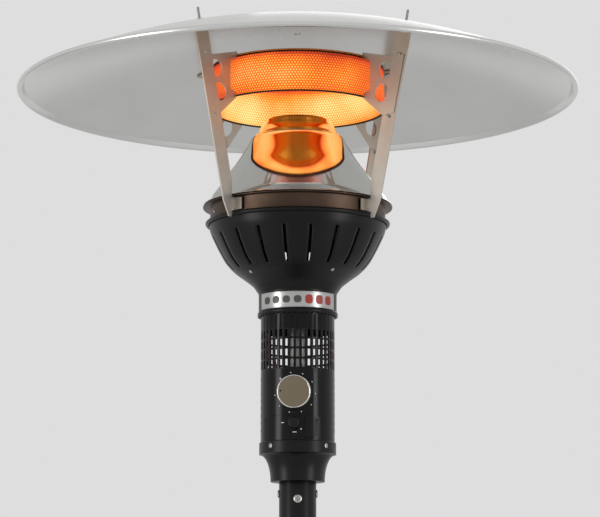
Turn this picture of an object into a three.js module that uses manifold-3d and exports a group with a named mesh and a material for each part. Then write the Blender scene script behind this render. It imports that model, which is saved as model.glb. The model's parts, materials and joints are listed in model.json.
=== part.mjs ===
// A free-standing gas patio heater: weighted base with a gas cylinder in a round housing, a pole, a
// control housing, a burner head with a polished deflector cone and a glowing screen, and a round
// reflector held by four struts. Millimetres, +Z up, front is -Y, origin on the ground below the pole.
import * as THREE from 'three';
import { mergeVertices } from 'three/addons/utils/BufferGeometryUtils.js';
import Module from 'manifold-3d';

const wasm = await Module();
wasm.setup();

// ---- Driving dimensions -------------------------------------------------------------------------

// General
const gap = 0.3; // between pieces that touch
const weld = 1e-4; // vertices closer than this are one
const roundSides = 20;
const largeSides = 36;
const reflectorSides = 44;
const smallSides = 8;

// Cylinder housing and its door
const housingRadius = 205;
const housingWall = 1.5;
const housingHeight = 582;
const housingShoulder = 14;
const lidRise = 8;
const lidHoleGap = 2; // round the pole socket
const doorHalfAngle = 48;
const doorGap = 2;
const doorBottom = 72;
const doorTop = 552;
const knuckleRadius = 4.2;
const knuckleLength = 34;
const hingePinRadius = 2;
const hingeInset = 60;
const leafLength = 14;
const leafThickness = 3;
const pullRadius = 11;
const pullNeck = 4.5;
const pullReach = 24;
const pullFromEdge = 6; // degrees

// Base
const baseMargin = 25; // outside the cylinder housing
const baseRadius = housingRadius + baseMargin;
const basePlate = 8;
const baseWallHeight = 40;
const baseWall = 4;

// Wheels, at the rear of the base and just clear of the ground
const wheelRadius = 60;
const wheelWidth = 26;
const wheelLift = 5;
const axleRadius = 6;
const axleBehindBase = 54;
const earSpacing = 70;
const earThickness = 6;
const runningGap = 0.5;
const axleHeadRadius = 10;
const axleHeadLength = 4;
const earMargin = 14; // round the axle
const wheelHubRadius = 18;
const wheelTreadWidth = 18;
const wheelWeb = 7; // how far the web is set in

// Frame that carries the pole over the cylinder
const legClearance = 17.5; // inside the housing
const legRadius = housingRadius - housingWall - legClearance;
const legThickness = 6;
const legWidth = 32;
const legTurn = 62; // degrees from the front, to each side
const legFoot = 22;
const legBend = 5;
const headroom = 26; // under the housing lid
const socketFlangeRadius = 62;
const socketFlange = 6;
const socketHeight = 104;
const socketWall = 3;
const hoseHoleRadius = 15;

// Gas cylinder
const cylinderClearance = 28; // inside the legs
const cylinderRadius = legRadius - legThickness - cylinderClearance;
const cylinderWall = 3;
const cylinderHeight = 335;
const domeDepth = 70;
const footRingInset = 47;
const footRingRadius = cylinderRadius - footRingInset;
const footRingHeight = 30;
const guardInset = 52;
const guardRadius = cylinderRadius - guardInset;
const guardHeight = 52;
const guardOpening = 130; // degrees
const guardRoot = 6; // below the dome, where it is welded on
const valveStemRadius = 10.5;
const valveBody = 26;
const valveSeatRise = 20; // above the cylinder
const handwheelRadius = 28;
const handwheelHeight = 12;
const regulatorRadius = 28;
const regulatorDepth = 32;
const unionNutRadius = 14;
const unionNutLength = 12;
const outletRadius = 9;
const outletLength = 20;
const barbRadius = 5;
const barbLength = 20;

// Pole
const poleRadius = 28.6;
const poleWall = 1.6;
const poleLength = 963;
const poleInsert = 38; // into the lower collar
const poleScrewRadius = 6.2;
const poleScrewHeadHeight = 2.8;
const poleScrewDrop = 27;
const sideScrewLift = 9;
const poleScrewTurn = 4.5;

// Lower collar
const collarBottomRadius = 41.8;
const flareHeight = 42;
const bandHeight = 18;
const bandProud = 2.1;
const collarWall = 1.8;
const ledgeRise = 3;
const collarScrewTurn = 51;
const collarScrewRadius = 3.4;

// Control housing
const controlRadius = 57.2;
const controlWall = 1.5;
const controlHeight = 228;
const slotColumns = 40;
const slotWidth = 4.6;
const slotHeight = 59.2;
const slotTopDrop = 42; // from the top of the tube
const slotPhase = 4.5;
const panelThickness = 1.2;
const panelHeight = 72;
const panelTopDrop = 103;
const panelLeft = -40;
const panelRight = 29;
const plateHeight = 36;
const plateDrop = 176;
const plateLeft = -55;
const plateRight = 42;

// Knobs
const mainKnobRadius = 25.7;
const mainKnobDepth = 16;
const mainKnobDrop = 140.8;
const mainKnobStandoff = 2.4;
const mainShaftRadius = 4;
const selectorRadius = 9.4;
const selectorDepth = 12;
const selectorDrop = 187.6;
const selectorStandoff = 4.8;
const selectorStemRadius = 3.4;
const selectorTravel = 4;
const pointerTurn = 135; // from straight up, at off
const shaftHoleGap = 2;
const boreGap = 0.4;

// Gas valve, orifice and burner tube
const valveWidth = 44;
const valveDepth = 34;
const valveHeight = 76;
const valveFrontInset = 10;
const valveBottomDrop = 196;
const bossRadius = 9;
const shaftInsert = 8;
const orificeRadius = 8;
const orificeHeight = 24;
const nozzleRadius = 3;
const burnerTubeRadius = 14;
const burnerTubeWall = 1.5;
const tubeFlangeRadius = 56;

// Bowl
const neckStandoff = 3.4; // outside the control housing
const neckRadius = controlRadius + neckStandoff;
const neckLength = 34;
const neckOverlap = 17.6;
const neckLip = 1.6;
const bowlHeight = 147;
const bowlRimRadius = 141.3;
const bowlBead = 3.2;
const bowlWall = 1.6;
const bowlSlots = 20;
const bowlSlotWidth = 4.6;
const bowlSlotBottom = 72;
const bowlSlotTop = 125;
const bowlSlotPhase = 4.5;
const badgeHalfAngle = 65;
const badgeHeight = 25;
const badgeRise = 7;
const badgeThickness = 1;

// Burner band and deflector cone
const bandInset = 4.5; // inside the middle of the bowl's rim
const bandRadius = bowlRimRadius - bandInset;
const bandWall = 1.5;
const bandRise = 26; // above the bowl's rim
const bandDepth = 28;
const flangeWidth = 12.2;
const flangeRadius = bandRadius + flangeWidth;
const sheet = 1.4;
const flareRise = 11.5;
const coneOverhang = 2.7; // outside the band
const coneBaseRadius = bandRadius + coneOverhang;
const coneTopRadius = 71.5;
const coneSlope = 55.5; // degrees from level
const coneBore = 45;
const burnerInset = 2.5; // inside the cone's top
const burnerBaseRadius = coneTopRadius - burnerInset;
const burnerTopRadius = 50.4;
const burnerHeight = 28;
const burnerRing = 2.6;
const burnerPorts = 8;
const portRadius = 3;

// Pilot group, behind the burner
const pilotRadius = 90;
const pilotSpacing = 14;
const pilotTubeRadius = 2.4;
const leadRadius = 1.6;
const lineHoleRadius = 4;
const pilotHoodRadius = 6;
const pilotHoodHeight = 16;
const pilotPlateRise = 14; // above the cone, at the lines

// Emitter
const emitterRise = 45; // above the cone
const emitterHeight = 65;
const emitterInset = 4.5; // inside the cone's base
const emitterTopRadius = coneBaseRadius - emitterInset;
const emitterFlare = 2.6;
const emitterBottomRadius = emitterTopRadius + emitterFlare;
const emitterWall = 1.4;
const hemRadius = 1.6;
const capLip = 1.6;
const capRise = 12;

// Struts and gussets
const strutTurn = -37.5; // azimuth of the first strut, degrees from the front
const rearLeftTurn = -6; // how far the last strut stands from an even quarter
const strutThickness = 2.5;
const strutWidth = 25.6;
const footReach = 19.6; // outside the flange
const footOuterRadius = flangeRadius + footReach;
const footTaper = 10; // below the band's top
const footTipWidth = 5.5;
const footTipDrop = 8; // below the bowl's rim
const flangeClearance = 1.6;
const lugHeight = 18;
const footTabLength = 24;
const gussetThickness = 1.5;
const gussetHoleRadius = 13.8;
const gussetRecess = 17;
const noseHeight = 10;
const gussetDrop = 34; // below the emitter

// Reflector
const reflectorRadius = 440;
const reflectorCrown = 100;
const reflectorWall = 1.6;
const reflectorBead = 4.2;
const rimBelowEmitterTop = 40;
const boltRadius = 221;
const boltShank = 3;
const boltHole = 3.6;
const boltLength = 22;
const nutRadius = 6.6;
const nutHeight = 5;
const tabSize = 26;
const tabThickness = 2;
const tabGap = 0.7; // the dome is not quite flat across a tab

// ---- Heights that follow, from the ground up ----------------------------------------------------

const floorTop = basePlate;
const housingBottom = floorTop + gap;
const housingTop = housingBottom + housingHeight;
const legTop = housingTop - headroom;
const socketBottom = legTop + gap;
const poleBottom = socketBottom + socketFlange + gap;
const poleTop = poleBottom + poleLength;
const collarBottom = poleTop - poleInsert;
const collarBandBottom = collarBottom + flareHeight;
const collarTop = collarBandBottom + bandHeight;
const controlBottom = collarBandBottom + ledgeRise;
const controlTop = controlBottom + controlHeight;
const bowlBottom = controlTop - neckOverlap;
const bowlRim = bowlBottom + bowlHeight;
const bandTop = bowlRim + bandRise;
const coneLip = bandTop + gap;
const coneBase = coneLip + flareRise;
const coneSteepness = Math.tan(THREE.MathUtils.degToRad(coneSlope));
const coneTop = coneBase + (coneBaseRadius - coneTopRadius) * coneSteepness;
const burnerBottom = coneTop + gap;
const burnerTop = burnerBottom + burnerHeight;
const emitterBottom = coneTop + emitterRise;
const emitterTop = emitterBottom + emitterHeight;
const reflectorRim = emitterTop - rimBelowEmitterTop;
const mainKnobHeight = controlTop - mainKnobDrop;
const selectorHeight = controlTop - selectorDrop;
const valveBottom = controlTop - valveBottomDrop;
const valveTop = valveBottom + valveHeight;
const strutAzimuths = [0, 90, 180, 270 + rearLeftTurn].map((step) => strutTurn + step);

// ---- Shape helpers ------------------------------------------------------------------------------

const radians = THREE.MathUtils.degToRad;

// Unit vector to an azimuth: 0 is the front (-Y), 90 is the right (+X).
function heading(azimuth) {
  return new THREE.Vector2(Math.sin(radians(azimuth)), -Math.cos(radians(azimuth)));
}

// Bare indexed geometry with one vertex per corner and no collapsed triangles.
function welded(geometry) {
  const bare = new THREE.BufferGeometry();
  bare.setAttribute('position', geometry.getAttribute('position').clone());
  if (geometry.index) bare.setIndex(geometry.index.clone());
  const merged = mergeVertices(bare, weld);
  const index = merged.index.array;
  const kept = [];
  for (let i = 0; i < index.length; i += 3) {
    const [a, b, c] = [index[i], index[i + 1], index[i + 2]];
    if (a !== b && b !== c && c !== a) kept.push(a, b, c);
  }
  merged.setIndex(kept);
  return merged;
}

// The same surface with its faces pointing out.
function outward(geometry) {
  const shape = welded(geometry);
  const at = shape.getAttribute('position');
  const index = shape.index.array;
  const corners = [new THREE.Vector3(), new THREE.Vector3(), new THREE.Vector3()];
  let volume = 0;
  for (let i = 0; i < index.length; i += 3) {
    corners.forEach((corner, k) => corner.fromBufferAttribute(at, index[i + k]));
    volume += corners[0].dot(corners[1].cross(corners[2]));
  }
  if (volume < 0) shape.setIndex(Array.from(index).reverse());
  return shape;
}

function solidOf(geometry) {
  const shape = welded(geometry);
  return new wasm.Manifold(new wasm.Mesh({
    numProp: 3,
    vertProperties: Float32Array.from(shape.getAttribute('position').array),
    triVerts: Uint32Array.from(shape.index.array),
  }));
}

function geometryOf(solid) {
  const mesh = solid.getMesh();
  const geometry = new THREE.BufferGeometry();
  geometry.setAttribute('position', new THREE.BufferAttribute(mesh.vertProperties, mesh.numProp));
  geometry.setIndex(Array.from(mesh.triVerts));
  return geometry;
}

function join(first, ...others) {
  return geometryOf(others.reduce((sum, other) => sum.add(solidOf(other)), solidOf(first)));
}

function cut(first, ...others) {
  return geometryOf(others.reduce((rest, other) => rest.subtract(solidOf(other)), solidOf(first)));
}

// A closed outline of [radius, height] points turned about the Z axis.
function turned(outline, sides = roundSides) {
  const [first, last] = [outline[0], outline[outline.length - 1]];
  const closed = first[0] === 0 && last[0] === 0 ? outline : [...outline, first];
  const points = closed.map(([radius, height]) => new THREE.Vector2(radius, height));
  return outward(new THREE.LatheGeometry(points, sides).rotateX(Math.PI / 2));
}

function drum(radius, bottom, top, sides = roundSides) {
  return turned([[0, bottom], [radius, bottom], [radius, top], [0, top]], sides);
}

function tube(outer, inner, bottom, top, sides = roundSides) {
  return turned([[inner, bottom], [outer, bottom], [outer, top], [inner, top]], sides);
}

function box(width, depth, height, x, y, z) {
  return new THREE.BoxGeometry(width, depth, height).translate(x, y, z);
}

// Points of an arc in a plane, with its end points.
function arc(centreX, centreY, radius, from, to, steps) {
  return Array.from({ length: steps + 1 }, (_, i) => {
    const angle = radians(from + ((to - from) * i) / steps);
    return [centreX + radius * Math.cos(angle), centreY + radius * Math.sin(angle)];
  });
}

function extruded(outline, depth) {
  const shape = new THREE.Shape(outline.map(([x, y]) => new THREE.Vector2(x, y)));
  return new THREE.ExtrudeGeometry(shape, { depth, bevelEnabled: false });
}

// An upright plate in the plane through the Z axis and +X, from [radius, height] points.
function radialPlate(outline, thickness, offset = 0) {
  return outward(extruded(outline, thickness).translate(0, 0, offset - thickness / 2).rotateX(Math.PI / 2));
}

// A curved plate between two radii and two azimuths.
function curvedPlate(inner, outer, from, to, bottom, top) {
  const steps = Math.ceil((to - from) / 6);
  const outline = [
    ...arc(0, 0, outer, from - 90, to - 90, steps),
    ...arc(0, 0, inner, to - 90, from - 90, steps),
  ];
  return outward(extruded(outline, top - bottom).translate(0, 0, bottom));
}

// A round bar along Y: its [radius, distance forward of the Z axis] outline, at a height.
function forwardTurned(outline, height, sides = roundSides, x = 0) {
  return turned(outline, sides).rotateX(Math.PI / 2).translate(x, 0, height);
}

function rod(points, radius, sides = 6) {
  const places = points.map((point) => new THREE.Vector3(...point));
  const curve = new THREE.CatmullRomCurve3(places, false, 'centripetal');
  const section = new THREE.Shape(arc(0, 0, radius, 0, 360 - 360 / sides, sides - 1)
    .map(([x, y]) => new THREE.Vector2(x, y)));
  const steps = Math.ceil(curve.getLength() / 20);
  return outward(new THREE.ExtrudeGeometry(section, { steps, extrudePath: curve, bevelEnabled: false }));
}

function turnedTo(geometry, azimuth) {
  return geometry.rotateZ(radians(azimuth - 90));
}

// ---- Finishes -----------------------------------------------------------------------------------

function finish(color, roughness, metalness) {
  return () => new THREE.MeshStandardMaterial({ color, roughness, metalness });
}

const blackPaint = finish(0x2b2b2c, 0.35, 0.1);
const glossBlack = finish(0x1c1c1d, 0.18, 0.1);
const polishedSteel = finish(0xd4d4d2, 0.08, 1);
const satinSteel = finish(0xb2a89c, 0.35, 1);
const tintedSteel = finish(0x5d4a40, 0.4, 1);
const hotMesh = finish(0xf06a28, 0.6, 0.6);
const reflectorSheet = finish(0xc9c9c6, 0.25, 1);
const zincSteel = finish(0xb9b9b6, 0.4, 1);
const copper = finish(0xb4643c, 0.35, 1);
const brass = finish(0xb89350, 0.35, 1);
const taupeMetal = finish(0x62564a, 0.4, 0.8);
const silverPlate = finish(0xb7b7b5, 0.3, 0.9);
const whiteCeramic = finish(0xe6e0d4, 0.5, 0);
const redSleeve = finish(0xa52a1e, 0.5, 0);
const greyPaint = finish(0xa9adae, 0.5, 0.1);
const rubberBlack = finish(0x202020, 0.8, 0);
const castGrey = finish(0x8c8c8a, 0.45, 0.9);

// ---- Base ---------------------------------------------------------------------------------------

const axleHeight = wheelRadius + wheelLift;
const axleOffset = baseRadius + axleBehindBase;

function wheelEar(side) {
  const x = side * earSpacing;
  const reach = axleOffset + earMargin;
  const start = baseRadius - 22;
  const plate = radialPlate([
    [start, 2], [reach - 8, 2], [reach, baseWallHeight], [reach, axleHeight + earMargin - 2],
    [start + 18, axleHeight], [start, baseWallHeight - 10],
  ], earThickness).rotateZ(Math.PI / 2).translate(x, 0, 0);
  const hole = drum(axleRadius + runningGap, -earThickness, earThickness, smallSides * 2)
    .rotateY(Math.PI / 2).translate(x, axleOffset, axleHeight);
  return cut(plate, hole);
}

function basePan() {
  const inner = baseRadius - baseWall;
  const pan = turned([
    [0, 0], [baseRadius - 3, 0], [baseRadius, 3], [baseRadius, baseWallHeight - 1.5],
    [baseRadius - 1.5, baseWallHeight], [inner, baseWallHeight], [inner, floorTop], [0, floorTop],
  ], largeSides);
  return join(pan, wheelEar(-1), wheelEar(1));
}

function axle() {
  const half = earSpacing + earThickness / 2 + 2 * runningGap + wheelWidth + runningGap;
  const head = half + axleHeadLength;
  return turned([
    [0, -head], [axleHeadRadius, -head], [axleHeadRadius, -half], [axleRadius, -half],
    [axleRadius, half], [axleHeadRadius, half], [axleHeadRadius, head], [0, head],
  ], smallSides * 2).rotateY(Math.PI / 2).translate(0, axleOffset, axleHeight);
}

function wheel(side) {
  const bore = axleRadius + runningGap;
  const half = wheelWidth / 2;
  const centre = side * (earSpacing + earThickness / 2 + 2 * runningGap + half);
  return turned([
    [bore, -half], [wheelHubRadius, -half], [wheelHubRadius + 2, wheelWeb - half],
    [wheelRadius - wheelTreadWidth - 2, wheelWeb - half], [wheelRadius - wheelTreadWidth, -half],
    [wheelRadius, -half], [wheelRadius, half], [bore, half],
  ], largeSides - 12).rotateY(Math.PI / 2).translate(centre, axleOffset, axleHeight);
}

// ---- Cylinder housing ---------------------------------------------------------------------------

const hingeAxisRadius = housingRadius + knuckleRadius + gap;
const doorGapAngle = THREE.MathUtils.radToDeg(doorGap / housingRadius);
const hingeAzimuth = -(doorHalfAngle - doorGapAngle / 2);
const hingeCentres = [doorBottom + hingeInset, doorTop - hingeInset];
const hingePoint = heading(hingeAzimuth).multiplyScalar(hingeAxisRadius);

// One hinge knuckle with the leaf that ties it to the sheet, to one side of the hinge axis.
function knuckle(side, bottom, top) {
  const barrel = drum(knuckleRadius, bottom, top, smallSides).translate(0, -hingeAxisRadius, 0);
  const leaf = box(leafLength, leafThickness, top - bottom, (side * leafLength) / 2, -(housingRadius + 0.5),
    (top + bottom) / 2);
  return join(barrel, leaf).rotateZ(radians(hingeAzimuth));
}

function hingeBore() {
  return drum(hingePinRadius + gap, doorBottom, doorTop, smallSides)
    .translate(hingePoint.x, hingePoint.y, 0);
}

function tankHousing() {
  const inner = housingRadius - housingWall;
  const hole = poleRadius + gap + socketWall + lidHoleGap;
  const shoulder = housingTop - housingShoulder;
  const lid = housingTop + lidRise;
  const shell = turned([
    [inner, housingBottom], [housingRadius, housingBottom], [housingRadius, shoulder],
    [housingRadius - 4, shoulder + 9], [housingRadius - 14, housingTop], [hole, lid],
    [hole, lid - housingWall], [inner - 13, housingTop - housingWall], [inner - 4, shoulder + 8],
    [inner, shoulder],
  ], largeSides);
  const doorway = curvedPlate(inner - 12, housingRadius + 12, -doorHalfAngle, doorHalfAngle,
    doorBottom, doorTop);
  const knuckles = hingeCentres.flatMap((centre) => [
    knuckle(-1, centre - 1.5 * knuckleLength, centre - 0.5 * knuckleLength - gap),
    knuckle(-1, centre + 0.5 * knuckleLength + gap, centre + 1.5 * knuckleLength),
  ]);
  return cut(join(cut(shell, doorway), ...knuckles), hingeBore());
}

function housingDoor() {
  const inner = housingRadius - housingWall;
  const half = doorHalfAngle - doorGapAngle;
  const panel = curvedPlate(inner, housingRadius, -half, half, doorBottom + doorGap, doorTop - doorGap);
  const reach = knuckleLength / 2;
  const knuckles = hingeCentres.map((centre) => knuckle(1, centre - reach, centre + reach));
  return cut(join(panel, ...knuckles), hingeBore());
}

function doorPin() {
  const [low, high] = hingeCentres;
  const reach = 1.5 * knuckleLength + 2;
  return drum(hingePinRadius, low - reach, high + reach, smallSides)
    .translate(hingePoint.x, hingePoint.y, 0);
}

function doorPull() {
  const start = housingRadius + gap + 0.2;
  const knob = forwardTurned([
    [0, start], [7, start], [pullNeck, start + 4], [pullNeck, start + pullReach - 12],
    [pullRadius, start + pullReach - 8], [pullRadius, start + pullReach - 2],
    [pullRadius - 2, start + pullReach], [0, start + pullReach],
  ], (doorBottom + doorTop) / 2, smallSides * 2);
  return knob.rotateZ(radians(doorHalfAngle - pullFromEdge));
}

// ---- Gas cylinder -------------------------------------------------------------------------------

const cylinderBottom = floorTop + gap + footRingHeight;
const cylinderTop = cylinderBottom + cylinderHeight;
const valveBore = valveStemRadius + gap;

// Half of an elliptical end, from the wall towards the axis.
function domeEnd(radius, wallHeight, tipHeight, towards) {
  return arc(0, 0, 1, 0, 90, 3)
    .map(([x, y]) => [radius * x, wallHeight + (tipHeight - wallHeight) * y])
    .filter(([r]) => r > towards);
}

function gasCylinder() {
  const inner = cylinderRadius - cylinderWall;
  const low = cylinderBottom + domeDepth;
  const high = cylinderTop - domeDepth;
  const body = turned([
    [0, cylinderBottom],
    ...domeEnd(cylinderRadius, low, cylinderBottom, 5).reverse(),
    ...domeEnd(cylinderRadius, high, cylinderTop, valveBore + 10),
    [valveBore + 8, cylinderTop + 6], [valveBore, cylinderTop + 6],
    ...domeEnd(inner, high, cylinderTop - cylinderWall, valveBore).reverse(),
    ...domeEnd(inner, low, cylinderBottom + cylinderWall, 5),
    [0, cylinderBottom + cylinderWall],
  ]);
  const foot = tube(footRingRadius, footRingRadius - cylinderWall, floorTop + gap, low - 30);
  const guardTop = cylinderTop + guardHeight;
  const domeFall = domeDepth * (1 - Math.sqrt(1 - (guardRadius / cylinderRadius) ** 2));
  const guardBottom = cylinderTop - domeFall - guardRoot;
  const guard = tube(guardRadius, guardRadius - cylinderWall, guardBottom, guardTop);
  const half = guardOpening / 2;
  const [inside, outside] = [guardRadius - 2 * cylinderWall, guardRadius + cylinderWall];
  const opening = curvedPlate(inside, outside, -half, half, cylinderTop + 4, guardTop + 10);
  return join(body, foot, cut(guard, opening));
}

const valveSeat = cylinderTop + valveSeatRise;
const valveBlockTop = valveSeat + valveBody;
const spindleRadius = 5;
const gripRadius = 5;
const gripCount = 6;

function cylinderValve() {
  const half = valveBody / 2;
  const stem = drum(valveStemRadius, cylinderTop - 12, valveSeat + 1, smallSides * 2);
  const block = box(valveBody, valveBody, valveBody, 0, 0, valveSeat + half);
  const [root, mouth] = [half - 1, half + outletLength];
  const outlet = forwardTurned(
    [[0, root], [outletRadius, root], [outletRadius, mouth], [0, mouth]], valveSeat + half, smallSides * 2);
  const spindle = drum(spindleRadius, valveBlockTop - 1, valveBlockTop + handwheelHeight, smallSides);
  return join(stem, block, outlet, spindle);
}

function cylinderHandwheel() {
  const bottom = valveBlockTop + 2;
  const bore = spindleRadius + gap;
  const wheelBody = turned([
    [bore, bottom], [11, bottom], [14, bottom + 3], [handwheelRadius - 7, bottom + 3],
    [handwheelRadius - 3, bottom], [handwheelRadius, bottom + 3], [handwheelRadius, bottom + 9],
    [handwheelRadius - 3, bottom + handwheelHeight], [bore, bottom + handwheelHeight],
  ], smallSides * 2);
  const grips = Array.from({ length: gripCount }, (_, i) => {
    const at = heading((360 / gripCount) * i).multiplyScalar(handwheelRadius + 2);
    return drum(gripRadius, bottom - 2, bottom + handwheelHeight + 2, smallSides).translate(at.x, at.y, 0);
  });
  return cut(wheelBody, ...grips);
}

function regulator() {
  const start = valveBody / 2 + outletLength + gap;
  const height = valveSeat + valveBody / 2;
  const end = start + regulatorDepth;
  const shoulder = regulatorRadius - 8;
  const body = forwardTurned([
    [0, start], [unionNutRadius, start], [unionNutRadius, start + unionNutLength],
    [shoulder, start + unionNutLength + 2], [regulatorRadius, end - 14], [regulatorRadius, end - 8],
    [shoulder, end], [0, end],
  ], height, smallSides * 2);
  const barb = drum(barbRadius, regulatorRadius - 6, regulatorRadius + barbLength, smallSides)
    .rotateY(Math.PI / 2).translate(0, -(start + 21), height);
  return join(body, barb);
}

// ---- Pole and its frame -------------------------------------------------------------------------

function supportLeg() {
  const inner = legRadius - legThickness;
  const tip = socketFlangeRadius - 26;
  return radialPlate([
    [inner - legFoot, floorTop + gap], [legRadius, floorTop + gap], [legRadius, legTop - legBend],
    [legRadius - legBend, legTop], [tip, legTop], [tip, legTop - legThickness],
    [inner - 4, legTop - legThickness],
    [inner, legTop - legThickness - 4], [inner, floorTop + gap + legThickness],
    [inner - legFoot, floorTop + gap + legThickness],
  ], legWidth);
}

function poleSocket() {
  const inner = poleRadius + gap;
  const plateTop = socketBottom + socketFlange;
  return turned([
    [hoseHoleRadius, socketBottom], [socketFlangeRadius, socketBottom], [socketFlangeRadius, plateTop],
    [inner + socketWall, plateTop], [inner + socketWall, plateTop + socketHeight],
    [inner, plateTop + socketHeight], [inner, plateTop], [hoseHoleRadius, plateTop],
  ]);
}

const poleScrewHoleRadius = 2.6;

function poleScrewHeight(step) {
  return collarBottom - poleScrewDrop + (step % 2 === 1 ? sideScrewLift : 0);
}

// A bar that points out from the Z axis at an azimuth, for screws and for the holes they pass.
function outwardBar(outline, height, azimuth, sides = smallSides) {
  return forwardTurned(outline, height, sides).rotateZ(radians(azimuth));
}

function pole() {
  const holes = [0, 1, 2, 3].map((step) => outwardBar(
    [[0, poleRadius / 2], [poleScrewHoleRadius, poleRadius / 2], [poleScrewHoleRadius, poleRadius + 10],
      [0, poleRadius + 10]],
    poleScrewHeight(step), poleScrewTurn + 90 * step));
  return cut(tube(poleRadius, poleRadius - poleWall, poleBottom, poleTop), ...holes);
}

// Half outline of a pan-head screw: its shank goes inwards from its seat, its head outwards.
function panScrew(seat, shank, head, headHeight, length) {
  const under = seat + gap;
  return [
    [0, seat - length], [shank, seat - length], [shank, under], [head, under],
    [head, under + headHeight * 0.4], [head * 0.7, under + headHeight], [0, under + headHeight],
  ];
}

function poleScrew(step) {
  const outline = panScrew(poleRadius, poleScrewHoleRadius - gap, poleScrewRadius, poleScrewHeadHeight, 5);
  return outwardBar(outline, poleScrewHeight(step), poleScrewTurn + 90 * step);
}

// ---- Lower collar and control housing -----------------------------------------------------------

const collarInner = controlRadius + gap;
const collarOuter = controlRadius + bandProud;
const collarScrewHeight = collarBandBottom + bandHeight / 2 + ledgeRise / 2;
const collarScrewShank = 1.6;

// Points up the flare: slow at first, then sweeping out to the band.
function flarePoints(offset) {
  const steps = 5;
  return Array.from({ length: steps }, (_, i) => {
    const t = (i + 1) / steps;
    const sweep = (t * Math.PI) / 2;
    const radius = collarBottomRadius + (collarOuter - collarBottomRadius) * (1 - Math.cos(sweep));
    const height = collarBottom + flareHeight * Math.sin(sweep);
    return [radius - offset, height + offset * (1 - t)];
  });
}

function collarScrewHoles() {
  const bore = collarScrewShank + gap;
  return [0, 1, 2, 3].map((step) => outwardBar(
    [[0, poleRadius + 10], [bore, poleRadius + 10], [bore, collarOuter + 10], [0, collarOuter + 10]],
    collarScrewHeight, collarScrewTurn + 90 * step));
}

function lowerCollar() {
  const grip = poleRadius + gap;
  const shell = turned([
    [grip, collarBottom], [collarBottomRadius, collarBottom], ...flarePoints(0), [collarOuter, collarTop],
    [collarInner, collarTop], [collarInner, controlBottom - gap], ...flarePoints(collarWall).reverse(),
    [grip + collarWall, collarBottom + collarWall], [grip + collarWall, poleTop], [grip, poleTop],
  ], slotColumns);
  return cut(shell, ...collarScrewHoles());
}

// The sheet's tall rows of short slots are one window per column here.
function slotCutter(height, azimuth) {
  return box(slotWidth, 12, slotHeight, 0, -controlRadius, height).rotateZ(radians(azimuth));
}

function controlHousing() {
  const inner = controlRadius - controlWall;
  const wall = tube(controlRadius, inner, controlBottom, controlTop, slotColumns);
  const height = controlTop - slotTopDrop - slotHeight / 2;
  const slots = Array.from({ length: slotColumns }, (_, column) => (
    slotCutter(height, slotPhase + (360 / slotColumns) * column)));
  return cut(wall, ...slots, ...collarScrewHoles(), shaftHole(mainShaftRadius, mainKnobHeight),
    shaftHole(selectorStemRadius, selectorHeight));
}

function shaftHole(radius, height) {
  const hole = radius + shaftHoleGap;
  const [back, front] = [controlRadius - 15, controlRadius + 15];
  return forwardTurned([[0, back], [hole, back], [hole, front], [0, front]], height, smallSides * 2);
}

function collarScrew(step) {
  const outline = panScrew(collarOuter, collarScrewShank, collarScrewRadius, 2, 6);
  return outwardBar(outline, collarScrewHeight, collarScrewTurn + 90 * step);
}

const panelInner = controlRadius + gap;
const panelOuter = panelInner + panelThickness;

function controlPanel() {
  const top = controlTop - panelTopDrop;
  const sheetPlate = curvedPlate(panelInner, panelOuter, panelLeft, panelRight, top - panelHeight, top);
  return cut(sheetPlate, shaftHole(mainShaftRadius, mainKnobHeight));
}

function selectorPlate() {
  const top = controlTop - plateDrop;
  const sheetPlate = curvedPlate(panelInner, panelOuter, plateLeft, plateRight, top - plateHeight, top);
  return cut(sheetPlate, shaftHole(selectorStemRadius, selectorHeight));
}

// ---- Valve and knobs ----------------------------------------------------------------------------

const valveFront = controlRadius - controlWall - valveFrontInset;
const bossFront = valveFront + 4;
const shaftEnd = bossFront - shaftInsert;

function valveBoreCutter(radius, height, depth) {
  return forwardTurned([[0, bossFront - depth], [radius, bossFront - depth], [radius, bossFront + 5],
    [0, bossFront + 5]], height, smallSides * 2);
}

function gasValve() {
  const middle = valveFront - valveDepth / 2;
  const block = box(valveWidth, valveDepth, valveHeight, 0, -middle, valveBottom + valveHeight / 2);
  const boss = (height) => forwardTurned(
    [[0, valveFront - 1], [bossRadius, valveFront - 1], [bossRadius, bossFront], [0, bossFront]],
    height, smallSides * 2);
  const inlet = drum(orificeRadius, valveBottom - 12, valveBottom + 1, 6).translate(0, -middle, 0);
  const outlet = box(18, 30, 10, 0, -8, valveTop - 5);
  return cut(join(block, boss(mainKnobHeight), boss(selectorHeight), inlet, outlet),
    valveBoreCutter(mainShaftRadius + boreGap, mainKnobHeight, shaftInsert + 2),
    valveBoreCutter(selectorStemRadius + boreGap, selectorHeight, shaftInsert + selectorTravel + 2));
}

function mainKnob() {
  const back = panelOuter + mainKnobStandoff;
  const front = back + mainKnobDepth;
  const knob = forwardTurned([
    [0, shaftEnd], [mainShaftRadius, shaftEnd], [mainShaftRadius, back], [mainKnobRadius - 1.4, back],
    [mainKnobRadius, back + 1.4], [mainKnobRadius, front - 1.6], [mainKnobRadius - 1.6, front], [0, front],
  ], mainKnobHeight, largeSides);
  const pip = forwardTurned([[0, front - 0.8], [1.3, front - 0.8], [1.3, front + 1], [0, front + 1]],
    mainKnobHeight + 2, smallSides, -(mainKnobRadius - 5.5));
  return cut(knob, pip);
}

const selectorBack = panelOuter + selectorStandoff;
const selectorBoreEnd = selectorBack + selectorDepth - 4;

function selectorStem() {
  return forwardTurned([
    [0, shaftEnd], [selectorStemRadius, shaftEnd], [selectorStemRadius, selectorBoreEnd - gap],
    [0, selectorBoreEnd - gap],
  ], selectorHeight, smallSides * 2);
}

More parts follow.
